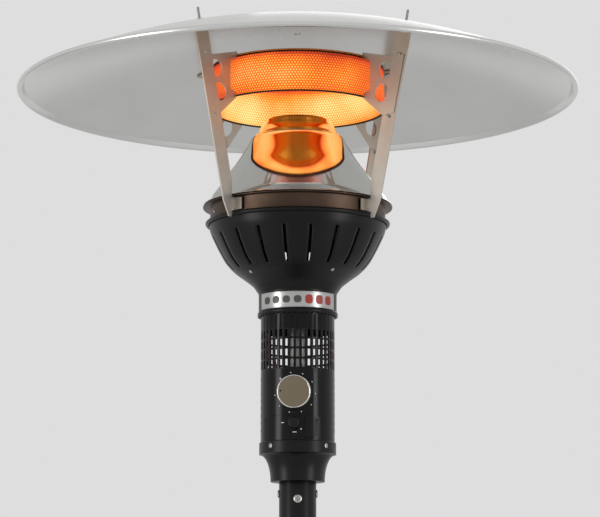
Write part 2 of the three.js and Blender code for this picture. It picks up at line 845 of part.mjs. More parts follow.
function selectorKnob() {
  const front = selectorBack + selectorDepth;
  const bore = selectorStemRadius + gap;
  const body = forwardTurned([
    [bore, selectorBack], [selectorRadius, selectorBack], [selectorRadius, selectorBack + 4],
    [selectorRadius - 1, front - 2], [selectorRadius - 2.4, front], [0, front], [0, selectorBoreEnd],
    [bore, selectorBoreEnd],
  ], selectorHeight, smallSides * 2);
  const middle = selectorBack + selectorDepth / 2 + 2;
  const pointer = box(2, selectorDepth - 3, selectorRadius * 1.6, 0, -middle, selectorRadius * 0.35)
    .rotateY(radians(pointerTurn)).translate(0, 0, selectorHeight);
  return cut(join(body, pointer), forwardTurned(
    [[0, selectorBack - 5], [bore, selectorBack - 5], [bore, selectorBoreEnd], [0, selectorBoreEnd]],
    selectorHeight, smallSides * 2));
}

function gasOrifice() {
  const base = valveTop + gap;
  const shoulder = base + orificeHeight * 0.6;
  const hex = turned([[0, base], [orificeRadius, base], [orificeRadius, shoulder], [0, shoulder]], 6);
  return join(hex, drum(nozzleRadius, shoulder - 1, base + orificeHeight, smallSides));
}

function burnerTube() {
  const inner = burnerTubeRadius - burnerTubeWall;
  const bottom = valveTop + orificeHeight * 0.6 + 4;
  const top = coneTop - sheet - gap;
  return turned([
    [inner + 3, bottom], [burnerTubeRadius + 3, bottom], [burnerTubeRadius, bottom + 12],
    [burnerTubeRadius, top - 12], [burnerTubeRadius + 6, top - sheet], [tubeFlangeRadius, top - sheet],
    [tubeFlangeRadius, top], [inner + 6, top], [inner, top - 12], [inner, bottom + 12],
  ], smallSides * 2);
}

// ---- Bowl ---------------------------------------------------------------------------------------

// The bowl's outside, as shares of the way out and the way up from its neck to its bead: a hollow
// sweep that turns into the round side of the bowl.
const bowlSweep = [
  [0, 0], [0.044, 0.075], [0.172, 0.173], [0.468, 0.336], [0.674, 0.5], [0.866, 0.748], [1, 1],
];
const beadInset = 2.9;
const beadDrop = 6;
const bowlShape = bowlSweep.map(([out, up]) => [
  neckRadius + (bowlRimRadius - beadInset - neckRadius) * out,
  neckLength + (bowlHeight - beadDrop - neckLength) * up,
]);

function bowl() {
  const lipTop = 6;
  const at = (radius, rise) => [radius, bowlBottom + rise];
  const outer = [
    at(neckRadius + neckLip, 0), at(neckRadius + neckLip, lipTop), at(neckRadius, lipTop + 1.6),
    ...bowlShape.map(([radius, rise]) => at(radius, rise)),
  ];
  const inner = bowlShape.map(([radius, rise]) => at(radius - bowlWall, rise + bowlWall * 0.6)).reverse();
  const bead = arc(bowlRimRadius, bowlRim - 0.4, bowlBead, -100, 180, 4);
  const shell = turned([...outer, ...bead, ...inner, at(neckRadius - bowlWall, 0)], bowlSlots * 2);
  const cutters = Array.from({ length: bowlSlots }, (_, i) => {
    const height = (bowlSlotTop + bowlSlotBottom) / 2;
    const cutter = box(bowlSlotWidth, 90, bowlSlotTop - bowlSlotBottom, 0, -(95 + 45), bowlBottom + height);
    return cutter.rotateZ(radians(bowlSlotPhase + (360 / bowlSlots) * (i + 0.5)));
  });
  return cut(shell, ...cutters);
}

function badgePlate() {
  const inner = neckRadius + gap;
  const bottom = bowlBottom + badgeRise + gap + 0.6;
  return curvedPlate(inner, inner + badgeThickness, -badgeHalfAngle + 4.5, badgeHalfAngle + 4.5, bottom,
    bottom + badgeHeight);
}

// ---- Burner head --------------------------------------------------------------------------------

function burnerBand() {
  const inner = bandRadius - bandWall;
  const shelf = flangeRadius - 1;
  return turned([
    [inner, bandTop - bandDepth], [bandRadius, bandTop - bandDepth], [bandRadius, bandTop - bandWall],
    [shelf, bandTop - bandWall], [shelf, bandTop], [inner, bandTop],
  ], largeSides);
}

const lineOffsets = [-pilotSpacing, 0, pilotSpacing];

function coneHeightAt(radius) {
  return coneBase + (coneBaseRadius - radius) * coneSteepness;
}

function deflectorCone() {
  const shell = turned([
    [flangeRadius - 2, coneLip], [flangeRadius, coneLip + 0.6], [flangeRadius, coneLip + 2],
    [coneBaseRadius + 1.5, coneBase - 0.5], [coneBaseRadius - 1.5, coneHeightAt(coneBaseRadius - 1.5)],
    [coneTopRadius + 1, coneTop - 1.2], [coneTopRadius - 1, coneTop], [coneBore, coneTop],
    [coneBore, coneTop - sheet], [coneTopRadius - 2, coneTop - sheet],
    [coneBaseRadius - 1.5 - sheet * 1.2, coneHeightAt(coneBaseRadius - 1.5)],
    [coneBaseRadius - 1, coneBase - 1.6],
  ], largeSides);
  const holes = lineOffsets.map((x) => drum(lineHoleRadius, coneBase, coneTop, smallSides)
    .translate(x, pilotRadius, 0));
  return cut(shell, ...holes);
}

function burnerCap() {
  const wall = sheet;
  const ringTop = burnerBottom + burnerRing;
  const shoulder = burnerBaseRadius - 4;
  const shell = turned([
    [coneBore + 2, burnerBottom], [burnerBaseRadius, burnerBottom], [burnerBaseRadius, ringTop],
    [shoulder, ringTop], [burnerTopRadius + 6, burnerTop - 9], [burnerTopRadius + 1, burnerTop - 2],
    [burnerTopRadius - 1.5, burnerTop], [0, burnerTop], [0, burnerTop - wall],
    [burnerTopRadius - 2.4, burnerTop - wall],
    [burnerTopRadius + 4, burnerTop - 9.4], [shoulder - 1.8, ringTop - 0.8], [coneBore + 2, ringTop - 0.8],
  ]);
  const ports = Array.from({ length: burnerPorts }, (_, i) => {
    const at = heading((360 / burnerPorts) * i).multiplyScalar(burnerTopRadius - 12);
    return drum(portRadius, burnerTop - 5, burnerTop + 5, 8).translate(at.x, at.y, 0);
  });
  return cut(shell, ...ports);
}

const pilotPlateHeight = coneHeightAt(pilotRadius) + pilotPlateRise;
const lineTop = pilotPlateHeight + 6;

function pilotBurner() {
  const half = pilotSpacing + 9;
  const plate = box(2 * half, 14, sheet, 0, pilotRadius, pilotPlateHeight);
  const legs = [-1, 1].map((side) => (
    box(2, 14, 60, side * (half - 1), pilotRadius, pilotPlateHeight - 30)));
  const hoodTop = pilotPlateHeight + pilotHoodHeight;
  const hood = tube(pilotHoodRadius, pilotHoodRadius - 1.2, pilotPlateHeight, hoodTop, smallSides)
    .translate(0, pilotRadius, 0);
  const belowCone = turned([
    [0, coneBase - 90], [coneBaseRadius + 60, coneBase - 90],
    [coneBaseRadius + 60 / coneSteepness, coneBase - 60 + gap],
    [coneTopRadius + gap * 1.2, coneTop + gap], [0, coneTop + gap],
  ], largeSides);
  const holes = [-1, 1].map((side) => drum(3.6, pilotPlateHeight - 3, pilotPlateHeight + 3, smallSides)
    .translate(side * pilotSpacing, pilotRadius, 0));
  const tubeHole = drum(pilotTubeRadius + gap, pilotPlateHeight - 3, pilotPlateHeight + 3, smallSides)
    .translate(0, pilotRadius, 0);
  return cut(join(plate, ...legs, hood), belowCone, ...holes, tubeHole);
}

// A line from the valve, up the housing and the neck, and behind the burner to its own hole.
function burnerLine(start, side, end, radius, top) {
  const neck = bowlBottom + neckLength;
  return rod([
    [...start, valveTop + gap], [...start, valveTop + 6],
    [...side, valveTop + 26], [...side, valveTop + 60], [...side, neck],
    [(side[0] + end) / 2, (side[1] + pilotRadius) / 2, (neck + coneBase) / 2 - 8],
    [end, pilotRadius - 2, coneBase - 8], [end, pilotRadius, coneBase + 20], [end, pilotRadius, top],
  ], radius);
}

const controlInner = controlRadius - controlWall;
const pilotTubeSide = [-(controlInner - 20.7), -10];
const thermocoupleSide = [-(controlInner - 10.7), 0];
const ignitionSide = [controlInner - 5.7, -5];

function pilotGasTube() {
  return burnerLine([-14, -(valveFront - 20)], pilotTubeSide, 0, pilotTubeRadius, lineTop);
}

function thermocouple() {
  const start = [-14, -(valveFront - 6)];
  const line = burnerLine(start, thermocoupleSide, -pilotSpacing, leadRadius, lineTop);
  const tip = drum(3, pilotPlateHeight - 12, pilotPlateHeight + 24, smallSides)
    .translate(-pilotSpacing, pilotRadius, 0);
  return join(line, tip);
}

const electrodeBottom = pilotPlateHeight - 10;

function ignitionLead() {
  const start = [14, -(valveFront - 12)];
  return burnerLine(start, ignitionSide, pilotSpacing, leadRadius, electrodeBottom - gap);
}

function igniterElectrode() {
  const ceramic = drum(3.2, electrodeBottom, pilotPlateHeight + 14, smallSides);
  const wire = drum(1, pilotPlateHeight + 13, pilotPlateHeight + 24, 8);
  return join(ceramic, wire).translate(pilotSpacing, pilotRadius, 0);
}

// ---- Emitter ------------------------------------------------------------------------------------

function emitterScreen() {
  const hem = emitterBottom + hemRadius;
  const hemEdge = emitterBottomRadius + hemRadius;
  return turned([
    [emitterBottomRadius - emitterWall, emitterBottom], [hemEdge - 0.4, emitterBottom],
    [hemEdge, emitterBottom + 0.8], [hemEdge, hem + 0.6], [emitterBottomRadius, hem + 1.4],
    [emitterTopRadius, emitterTop], [emitterTopRadius - emitterWall, emitterTop],
  ], largeSides);
}

function emitterCap() {
  const bottom = emitterTop + gap;
  const edge = emitterTopRadius + capLip;
  return turned([
    [0, bottom + capRise], [edge - 18, bottom], [edge, bottom], [edge, bottom + sheet],
    [edge - 18.4, bottom + sheet], [0, bottom + capRise + sheet],
  ], largeSides);
}

// ---- Reflector, struts and gussets --------------------------------------------------------------

// Height of the middle of the reflector's sheet above its rim.
function domeAt(radius) {
  return reflectorCrown * (1 - (radius / reflectorRadius) ** 2);
}

function domeUnderside(radius) {
  return reflectorRim + domeAt(radius) - reflectorWall / 2;
}

const domeSlope = Math.atan((2 * reflectorCrown * boltRadius) / reflectorRadius ** 2);

function reflector() {
  const edge = reflectorRadius - reflectorBead;
  const flat = tabSize * 0.7;
  const radii = [0, boltRadius * 0.45, boltRadius - flat, boltRadius + flat, boltRadius * 1.5, edge];
  const outer = radii.map((radius) => [radius, domeUnderside(radius) + reflectorWall]);
  const inner = radii.map((radius) => [radius, domeUnderside(radius)]).reverse();
  const bead = turned(arc(edge, reflectorRim, reflectorBead, 0, 288, 4), reflectorSides);
  const dish = join(turned([...outer, ...inner], reflectorSides), bead);
  const holes = strutAzimuths.map((azimuth) => turnedTo(boltHoleCutter(), azimuth));
  return cut(dish, ...holes);
}

// Everything at a bolt is set along the dome's normal there.
function atBolt(geometry) {
  return geometry.rotateY(domeSlope).translate(boltRadius, 0, reflectorRim + domeAt(boltRadius));
}

function boltHoleCutter() {
  return atBolt(drum(boltHole, -10, 10, smallSides));
}

function reflectorBolt() {
  const under = -(reflectorWall / 2 + tabGap + tabThickness + gap);
  const above = reflectorWall / 2 + gap;
  const shank = drum(boltShank, under - 1, above + boltLength, smallSides);
  const head = turned([
    [0, under - 3], [4, under - 3], [nutRadius, under - 1.4], [nutRadius, under], [0, under],
  ], smallSides);
  const nut = drum(nutRadius, above, above + nutHeight, 6);
  return atBolt(join(shank, head, nut));
}

const footTop = bandTop - footTaper;
const topOuterRadius = boltRadius + tabSize / 2 - 1;
const topOuterHeight = domeUnderside(topOuterRadius) - tabGap - tabThickness / 2;
const barLean = (topOuterRadius - footOuterRadius) / (topOuterHeight - footTop);
const innerFoot = flangeRadius + flangeClearance;

function barOuter(height) {
  return footOuterRadius + barLean * (height - footTop);
}

function barInner(height) {
  return barOuter(height) - strutWidth;
}

const footTip = bowlRim - footTipDrop;
const kneeHeight = footTop + (innerFoot + strutWidth - footOuterRadius) / barLean;
const lugTop = bandTop - bandWall - gap - 2;
const lugInner = bandRadius + gap;

function strut() {
  const topInner = topOuterRadius - strutWidth;
  const bar = radialPlate([
    [innerFoot, footTip], [innerFoot + footTipWidth, footTip], [footOuterRadius, footTop],
    [topOuterRadius, topOuterHeight], [topInner, domeUnderside(topInner) - tabGap - tabThickness / 2],
    [innerFoot, kneeHeight], [innerFoot, lugTop], [lugInner, lugTop], [lugInner, lugTop - lugHeight],
    [innerFoot, lugTop - lugHeight],
  ], strutThickness);
  const footTab = box(2, footTabLength, lugHeight, lugInner + 3.2, 0, lugTop - lugHeight / 2);
  const tabMiddle = reflectorWall / 2 + tabGap + tabThickness / 2;
  const topTab = atBolt(box(tabSize, tabSize, tabThickness, 0, 0, -tabMiddle));
  const clearance = boltShank + gap;
  const hole = atBolt(drum(clearance, -12, 12, smallSides));
  return cut(join(bar, footTab, topTab), hole, atBolt(headPocket()));
}

// Room in the bar for the bolt's head, which sits under the tab.
function headPocket() {
  const under = -(reflectorWall / 2 + tabGap + tabThickness);
  return drum(nutRadius + 1, under - 8, under, smallSides);
}

function gusset() {
  const top = emitterTop + gap + sheet + 4;
  const noseTop = emitterTopRadius + capLip + gap;
  const noseBottom = emitterBottomRadius + hemRadius + gap;
  const low = emitterBottom - gussetDrop;
  const recess = noseTop + gussetRecess - 2;
  const plate = radialPlate([
    [barInner(low), low], [barOuter(low) - 3, low], [barOuter(top - 16) - 3, top - 16],
    [barInner(top - 16), top - 16], [noseTop, top], [noseTop, top - noseHeight],
    [recess, top - noseHeight - 6],
    [recess, emitterBottom + noseHeight], [noseBottom, emitterBottom + noseHeight - 4],
    [noseBottom, emitterBottom - 3],
  ], gussetThickness, strutThickness / 2 + gap + gussetThickness / 2);
  const holeCentres = [
    [recess + 32, emitterTop - 29],
    [recess + 23, emitterBottom + 1],
  ];
  const holes = holeCentres.map(([radius, height]) => (
    radialDrum(gussetHoleRadius, radius, height, roundSides)));
  return cut(plate, ...holes);
}

// A short bar across a radial plate, at a radius and a height.
function radialDrum(radius, at, height, sides) {
  return drum(radius, -10, 10, sides).rotateX(Math.PI / 2).translate(at, 0, height);
}

// ---- Assembly -----------------------------------------------------------------------------------

const heater = new THREE.Group();

function place(name, geometry, material, azimuth = 90) {
  const mesh = new THREE.Mesh(outward(geometry), material());
  mesh.name = name;
  mesh.rotation.z = radians(azimuth - 90);
  heater.add(mesh);
}

place('base_pan', basePan(), blackPaint);
place('axle', axle(), zincSteel);
place('wheel_left', wheel(-1), rubberBlack);
place('wheel_right', wheel(1), rubberBlack);
place('tank_housing', tankHousing(), blackPaint);
place('housing_door', housingDoor(), blackPaint);
place('door_hinge_pin', doorPin(), zincSteel);
place('door_pull', doorPull(), polishedSteel);
place('gas_cylinder', gasCylinder(), greyPaint);
place('cylinder_valve', cylinderValve(), brass);
place('cylinder_handwheel', cylinderHandwheel(), rubberBlack);
place('regulator', regulator(), castGrey);
[['rear', 180], ['left', -legTurn], ['right', legTurn]].forEach(([side, azimuth]) => {
  place(`support_leg_${side}`, supportLeg(), zincSteel, azimuth);
});
place('pole_socket', poleSocket(), zincSteel);
place('pole', pole(), blackPaint);
place('lower_collar', lowerCollar(), blackPaint);
place('control_housing', controlHousing(), glossBlack);
place('control_panel', controlPanel(), glossBlack);
place('selector_plate', selectorPlate(), glossBlack);
place('main_knob', mainKnob(), taupeMetal);
place('selector_stem', selectorStem(), zincSteel);
place('selector_knob', selectorKnob(), glossBlack);
place('gas_valve', gasValve(), castGrey);
place('gas_orifice', gasOrifice(), brass);
place('burner_tube', burnerTube(), zincSteel);
place('pilot_gas_tube', pilotGasTube(), copper);
place('thermocouple', thermocouple(), copper);
place('ignition_lead', ignitionLead(), redSleeve);
place('igniter_electrode', igniterElectrode(), whiteCeramic);
place('pilot_burner', pilotBurner(), satinSteel);
place('bowl', bowl(), blackPaint);
place('badge_plate', badgePlate(), silverPlate);
place('burner_band', burnerBand(), tintedSteel);
place('deflector_cone', deflectorCone(), polishedSteel);
place('burner_cap', burnerCap(), polishedSteel);
place('emitter_screen', emitterScreen(), hotMesh);
place('emitter_cap', emitterCap(), tintedSteel);
place('reflector', reflector(), reflectorSheet);
['front_left', 'front_right', 'rear_right', 'rear_left'].forEach((corner, step) => {
  place(`strut_${corner}`, strut(), satinSteel, strutAzimuths[step]);
  place(`gusset_${corner}`, gusset(), satinSteel, strutAzimuths[step]);
  place(`reflector_bolt_${corner}`, reflectorBolt(), zincSteel, strutAzimuths[step]);
});
['front', 'right', 'rear', 'left'].forEach((side, step) => {
  place(`pole_screw_${side}`, poleScrew(step), zincSteel);
  place(`collar_screw_${side}`, collarScrew(step), zincSteel);
});

export default heater;
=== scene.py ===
# %% [markdown]
# # A gas patio heater, one piece at a time
#
# This lesson dresses a measured model of a patio heater. The measured model gives every piece its
# place and its size. Each cell below works out one finer surface with numpy, or one finish with
# shader nodes, and lays it over the plain solid that it stands for.

# %% Load the measured model
import json
import math

import bmesh
import bpy
import numpy as np
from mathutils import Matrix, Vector


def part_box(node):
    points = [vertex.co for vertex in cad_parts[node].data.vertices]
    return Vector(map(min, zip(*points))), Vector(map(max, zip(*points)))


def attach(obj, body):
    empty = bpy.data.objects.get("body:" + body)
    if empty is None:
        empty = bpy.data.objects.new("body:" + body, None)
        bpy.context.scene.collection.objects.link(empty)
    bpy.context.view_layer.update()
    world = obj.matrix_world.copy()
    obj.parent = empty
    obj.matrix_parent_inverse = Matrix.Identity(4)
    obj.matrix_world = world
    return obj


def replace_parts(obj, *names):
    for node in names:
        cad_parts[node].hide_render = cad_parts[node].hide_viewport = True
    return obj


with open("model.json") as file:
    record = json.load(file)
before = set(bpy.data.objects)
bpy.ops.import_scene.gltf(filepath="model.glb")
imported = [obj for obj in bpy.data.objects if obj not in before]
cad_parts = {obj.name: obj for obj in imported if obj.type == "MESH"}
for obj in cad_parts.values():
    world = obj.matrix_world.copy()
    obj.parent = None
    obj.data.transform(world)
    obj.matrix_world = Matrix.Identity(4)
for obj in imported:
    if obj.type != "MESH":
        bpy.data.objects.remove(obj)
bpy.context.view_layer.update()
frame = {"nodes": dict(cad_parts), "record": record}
print("nodes:", len(frame["nodes"]))

# %% [markdown]
# ## Heights and radii
#
# All shapes are worked out in millimetres, because that is how sheet metal is drawn, and they are
# turned to metres in one place. Every height comes from the measured box of a node, so a change in
# the measured model moves the fine surface with it.

# %% Heights and radii from the measured nodes
MM = 0.001
WHOLE = "heater"


def span(node):
    """Lowest and highest corner of a node, in millimetres."""
    low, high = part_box(node)
    return np.array(low) / MM, np.array(high) / MM


def radius_of(node):
    """Half of a node's width: the outer radius of a round piece."""
    low, high = span(node)
    return (high[0] - low[0]) / 2


def heights_of(node):
    """Lowest and highest point of a node."""
    low, high = span(node)
    return low[2], high[2]


dish_bead = 4.2
dish_radius = radius_of("reflector")
dish_rim = heights_of("reflector")[0] + dish_bead
dish_crown = 100.0
screen_low, screen_top = heights_of("emitter_screen")
lip_low, cone_top = heights_of("deflector_cone")
band_low, band_top = heights_of("burner_band")
bowl_low, bowl_high = heights_of("bowl")
tube_low, tube_high = heights_of("control_housing")
collar_low, collar_high = heights_of("lower_collar")
pole_low, pole_high = heights_of("pole")
print(f"dish {2 * dish_radius:.0f} mm across, rim {dish_rim:.0f} mm up, crown {dish_crown:.0f} mm above it")

# %% [markdown]
# ## From a formula to a mesh
#
# Nearly every piece here is spun, rolled or folded sheet. Such a surface is a grid: one number runs
# along its outline, the other runs around the pole. The helpers below put a grid of points into a
# mesh and close it where it meets itself; later cells leave out the faces where the sheet is cut away.

# %% Grid helpers


def grid_faces(rows, columns, wrap_rows, wrap_columns):
    """Corner numbers of the quads of a grid; a wrapped side also joins its last line to its first."""
    i, j = np.meshgrid(np.arange(rows if wrap_rows else rows - 1),
                       np.arange(columns if wrap_columns else columns - 1), indexing="ij")
    below, beside = (i + 1) % rows, (j + 1) % columns
    corners = [i * columns + j, i * columns + beside, below * columns + beside, below * columns + j]
    return np.stack(corners, -1).reshape(-1, 4)


def piece(name, points, faces, material, slot, body=WHOLE, sharp=35.0):
    """A mesh object from points in millimetres, welded, with its faces turned out, hung on a body."""
    mesh = bpy.data.meshes.new(name)
    corners_of = [[int(corner) for corner in face] for face in faces]
    mesh.from_pydata((np.asarray(points, float).reshape(-1, 3) * MM).tolist(), [], corners_of)
    work = bmesh.new()
    work.from_mesh(mesh)
    bmesh.ops.remove_doubles(work, verts=work.verts, dist=2e-6)
    bmesh.ops.recalc_face_normals(work, faces=work.faces)
    work.to_mesh(mesh)
    work.free()
    mesh.shade_smooth()
    mesh.set_sharp_from_angle(angle=math.radians(sharp))
    mesh.materials.append(material)
    made = bpy.data.objects.new(name, mesh)
    bpy.context.scene.collection.objects.link(made)
    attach(made, body)
    return made


def around(sides):
    """Angles from the front (-Y) towards the right (+X), once round."""
    return np.linspace(0, 2 * np.pi, sides, endpoint=False)


def spun_points(outline, angles):
    """A profile turned about the pole: (radius * sin, -radius * cos, height) for every angle."""
    radius, height = np.asarray(outline, float).T[:, :, None]
    return np.stack([radius * np.sin(angles), -radius * np.cos(angles), height + 0 * angles], -1)


def spun_shape(outline, sides):
    """Points and faces of a closed profile turned once round the pole."""
    return spun_points(outline, around(sides)).reshape(-1, 3), grid_faces(len(outline), sides, True, True)


def spun(name, outline, material, slot, sides=96, **how):
    """A closed profile of [radius, height] points turned once round the pole."""
    return piece(name, *spun_shape(outline, sides), material, slot, **how)


def thick(made, wall_mm):
    """Gives a sheet its wall on the inner side of its faces."""
    solid = made.modifiers.new("wall", "SOLIDIFY")
    solid.thickness = wall_mm * MM
    solid.offset = -1.0
    return made


def rounded(outline, reach=0.6, steps=3):
    """A closed profile with its corners eased: each becomes the curve (1-t)^2 A + 2t(1-t) C + t^2 B."""
    corner = np.asarray(outline, float)
    t = np.linspace(0, 1, steps + 1)[:, None]
    ends = []
    for turn in (1, -1):
        edge = np.roll(corner, turn, axis=0) - corner
        length = np.maximum(np.linalg.norm(edge, axis=1), 1e-9)
        ends.append(corner + edge * np.minimum(reach / length, 0.45)[:, None])
    curve = (1 - t) ** 2 * ends[0][:, None] + 2 * t * (1 - t) * corner[:, None] + t ** 2 * ends[1][:, None]
    on_axis = corner[:, 0] == 0
    curve[on_axis] = corner[on_axis][:, None]
    return curve.reshape(-1, 2)


def flowing(points, steps=6):
    """A smooth line through points: Catmull-Rom, each span a cubic of its four nearest points."""
    p = np.asarray(points, float)
    p = np.concatenate([2 * p[:1] - p[1:2], p, 2 * p[-1:] - p[-2:-1]])
    a, b, c, d = p[:-3, None], p[1:-2, None], p[2:-1, None], p[3:, None]
    t = np.linspace(0, 1, steps, endpoint=False)[:, None]
    curve = 0.5 * (2 * b + (c - a) * t + (2 * a - 5 * b + 4 * c - d) * t ** 2 + (3 * b - a - 3 * c + d)
                   * t ** 3)
    return np.concatenate([curve.reshape(-1, p.shape[1]), p[-2:-1]])


def walled(curve, wall):
    """A line made into a closed profile: there along the line, back one wall thickness to its left."""
    line = np.asarray(curve, float)
    step = np.gradient(line, axis=0)
    normal = np.stack([-step[:, 1], step[:, 0]], 1) / np.linalg.norm(step, axis=1)[:, None]
    inner = line + normal * wall
    inner[line[:, 0] == 0, 0] = 0
    return np.concatenate([line, inner[::-1]])


print("helpers ready")

# %% [markdown]
# ## Colours and shader nodes
#
# Colours are written as the sRGB hex values that paint and metal charts use. Cycles works in linear
# light, so one function turns them. One more function adds a node and its links, and a third makes
# the base that every finish here shares: a fine grain from the way the surface was made, and slow
# patches, because no real sheet is the same all over.

# %% Colour and node helpers


def linear(code):
    """sRGB hex to linear light: c / 12.92 near black, otherwise ((c + 0.055) / 1.055) ^ 2.4."""
    value = np.array([int(code[i:i + 2], 16) for i in (0, 2, 4)]) / 255
    light = np.where(value <= 0.04045, value / 12.92, ((value + 0.055) / 1.055) ** 2.4)
    return (*light.tolist(), 1.0)


def add(tree, kind, inputs=None, **settings):
    """Adds one node: settings are its properties, inputs are values or other nodes' outputs."""
    made = tree.nodes.new(kind)
    for name, value in settings.items():
        setattr(made, name, value)
    for name, value in (inputs or {}).items():
        if isinstance(value, bpy.types.NodeSocket):
            tree.links.new(value, made.inputs[name])
        else:
            made.inputs[name].default_value = value
    return made


def worked(tree, operation, *values):
    """The output of one arithmetic node over numbers or other nodes' outputs."""
    return add(tree, "ShaderNodeMath", dict(enumerate(values)), operation=operation).outputs[0]


def finish(name, light, dark, rough, metal, grain_mm, relief_mm, stretch=(1, 1, 1), patch_mm=60, spread=0.06,
           **shader_values):
    """A surface: colour drifts from light to dark in patches, roughness drifts with it, grain is bump."""
    material = bpy.data.materials.new(name)
    material.use_nodes = True
    tree = material.node_tree
    shader = tree.nodes["Principled BSDF"]
    place = add(tree, "ShaderNodeTexCoord").outputs["Object"]
    laid = add(tree, "ShaderNodeMapping", {"Vector": place, "Scale": stretch})
    grain = add(tree, "ShaderNodeTexNoise", {"Vector": laid.outputs[0], "Scale": 1 / (grain_mm * MM),
                                             "Detail": 3.0})
    patch = add(tree, "ShaderNodeTexNoise", {"Vector": place, "Scale": 1 / (patch_mm * MM), "Detail": 2.0})
    blend = add(tree, "ShaderNodeMix", {0: patch.outputs[0], 6: linear(dark), 7: linear(light)},
                data_type="RGBA")
    wander = add(tree, "ShaderNodeMapRange", {0: grain.outputs[0], 3: rough - spread, 4: rough + spread})
    bump = add(tree, "ShaderNodeBump", {"Height": grain.outputs[0], "Strength": 0.6,
                                        "Distance": relief_mm * MM})
    tree.links.new(blend.outputs[2], shader.inputs["Base Color"])
    tree.links.new(wander.outputs[0], shader.inputs["Roughness"])
    tree.links.new(bump.outputs[0], shader.inputs["Normal"])
    shader.inputs["Metallic"].default_value = metal
    for socket, value in shader_values.items():
        shader.inputs[socket.replace("_", " ")].default_value = value
    return material


print("finish helper ready")

# %% [markdown]
# ## Paints
#
# The bowl, collar, pole and base are powder-coated steel: a baked coat with a faint orange peel
# about a millimetre across, satin and nearly black. The control housing has a smoother, glossier
# coat. The gas cylinder has plain grey enamel. A low relief keeps the highlights broken but wide.

# %% Paints
black_paint = finish("powder_coated_black_steel", "0b0b0c", "070708", 0.34, 0.0, 1.2, 0.02,
                     Specular_IOR_Level=0.22)
gloss_paint = finish("gloss_black_enamel_steel", "070708", "040405", 0.2, 0.0, 1.6, 0.01, spread=0.04,
                     Specular_IOR_Level=0.2)
grey_paint = finish("grey_enamelled_steel", "adb1b2", "9da1a3", 0.42, 0.0, 1.4, 0.03)
print("paints:", black_paint.name, gloss_paint.name, grey_paint.name)

# %% [markdown]
# ## Bare metals
#
# Spun and rolled sheet carries fine lines along the way it was worked, so its grain is stretched.
# The struts are satin stainless steel, the bolts are zinc plated, the tubes are drawn copper, and
# the valve bodies are zinc castings with a coarser skin. Metals keep the shader's own IOR.

# %% Bare metals
satin_steel = finish("brushed_stainless_steel", "b9b0a4", "9a9087", 0.34, 1.0, 0.9, 0.02, (1, 1, 0.06), 40)
zinc_steel = finish("zinc_plated_steel", "c2c2bf", "a6a6a4", 0.36, 1.0, 1.0, 0.03)
copper = finish("drawn_copper_tube", "c0704a", "8f4a30", 0.3, 1.0, 0.8, 0.02, (1, 1, 0.1), 14)
brass = finish("machined_brass", "bd9a56", "9c7c40", 0.3, 1.0, 0.7, 0.02)
cast_alloy = finish("cast_zinc_alloy", "949492", "7c7c7a", 0.5, 1.0, 1.6, 0.12)
silver_plate = finish("brushed_aluminium_plate", "c4c4c2", "a8a8a6", 0.28, 1.0, 0.6, 0.015, (0.05, 0.05, 1),
                      30)
print("metals ready")

# %% [markdown]
# ## Plastics, rubber and ceramic
#
# The selector knob is moulded ABS, the handwheel a duller nylon, and the wheels solid rubber. The
# spark electrode sits in white alumina and its lead runs in a red silicone sleeve.

# %% Plastics, rubber and ceramic
black_plastic = finish("moulded_black_abs", "101011", "0a0a0b", 0.34, 0.0, 0.8, 0.02, Specular_IOR_Level=0.25)
wheel_plastic = finish("moulded_black_nylon", "1e1e1f", "161617", 0.5, 0.0, 1.0, 0.05,
                       Specular_IOR_Level=0.35)
rubber = finish("solid_black_rubber", "1c1c1c", "131313", 0.75, 0.0, 1.1, 0.08, Specular_IOR_Level=0.35)
ceramic = finish("white_alumina_ceramic", "ebe6da", "d8d0c0", 0.45, 0.0, 0.8, 0.03)
silicone = finish("red_silicone_sleeve", "b23022", "8c2018", 0.5, 0.0, 0.7, 0.03, patch_mm=12)
white_print = finish("white_printed_ink", "e8e8e4", "d6d6d2", 0.5, 0.0, 0.5, 0.005)
print("plastics ready")

# %% [markdown]
# ## Mirror-polished steel
#
# The cone and the burner cap are polished stainless steel. What they show is mostly what stands
# round them, so the surface needs little more than a very low roughness. A faint set of rings from
# the polishing lathe, about 1.5 mm apart, softens the mirror a little across the cone.

# %% Polished steel


def ring_waves(tree, spacing_mm, centre=(0, 0, 0), flat=(1, 1, 0)):
    """Rings round an axis: a wave of the distance from it, with a little noise in the spacing."""
    place = add(tree, "ShaderNodeTexCoord").outputs["Object"]
    moved = add(tree, "ShaderNodeMapping", {"Vector": place, "Location": [-c * MM for c in centre]})
    across = add(tree, "ShaderNodeVectorMath", {0: moved.outputs[0], 1: flat}, operation="MULTIPLY")
    length = add(tree, "ShaderNodeVectorMath", {0: across.outputs[0]}, operation="LENGTH")
    line = add(tree, "ShaderNodeCombineXYZ", {"X": length.outputs["Value"]})
    return add(tree, "ShaderNodeTexNoise", {"Vector": line.outputs[0], "Scale": 1 / (spacing_mm * MM),
                                            "Detail": 3.0})


def ringed(name, light, dark, rough, spacing_mm, relief_mm, spread=0.04, centre=(0, 0, 0), flat=(1, 1, 0)):
    """Turned or spun metal: roughness and bump both follow the lathe's rings."""
    material = finish(name, light, dark, rough, 1.0, 2.0, relief_mm, patch_mm=90)
    tree = material.node_tree
    shader = tree.nodes["Principled BSDF"]
    rings = ring_waves(tree, spacing_mm, centre, flat)
    wander = add(tree, "ShaderNodeMapRange", {0: rings.outputs[0], 3: max(rough - spread, 0.01),
                                              4: rough + spread})
    bump = add(tree, "ShaderNodeBump", {"Height": rings.outputs[0], "Strength": 0.5,
                                        "Distance": relief_mm * MM})
    tree.links.new(wander.outputs[0], shader.inputs["Roughness"])
    tree.links.new(bump.outputs[0], shader.inputs["Normal"])
    return material


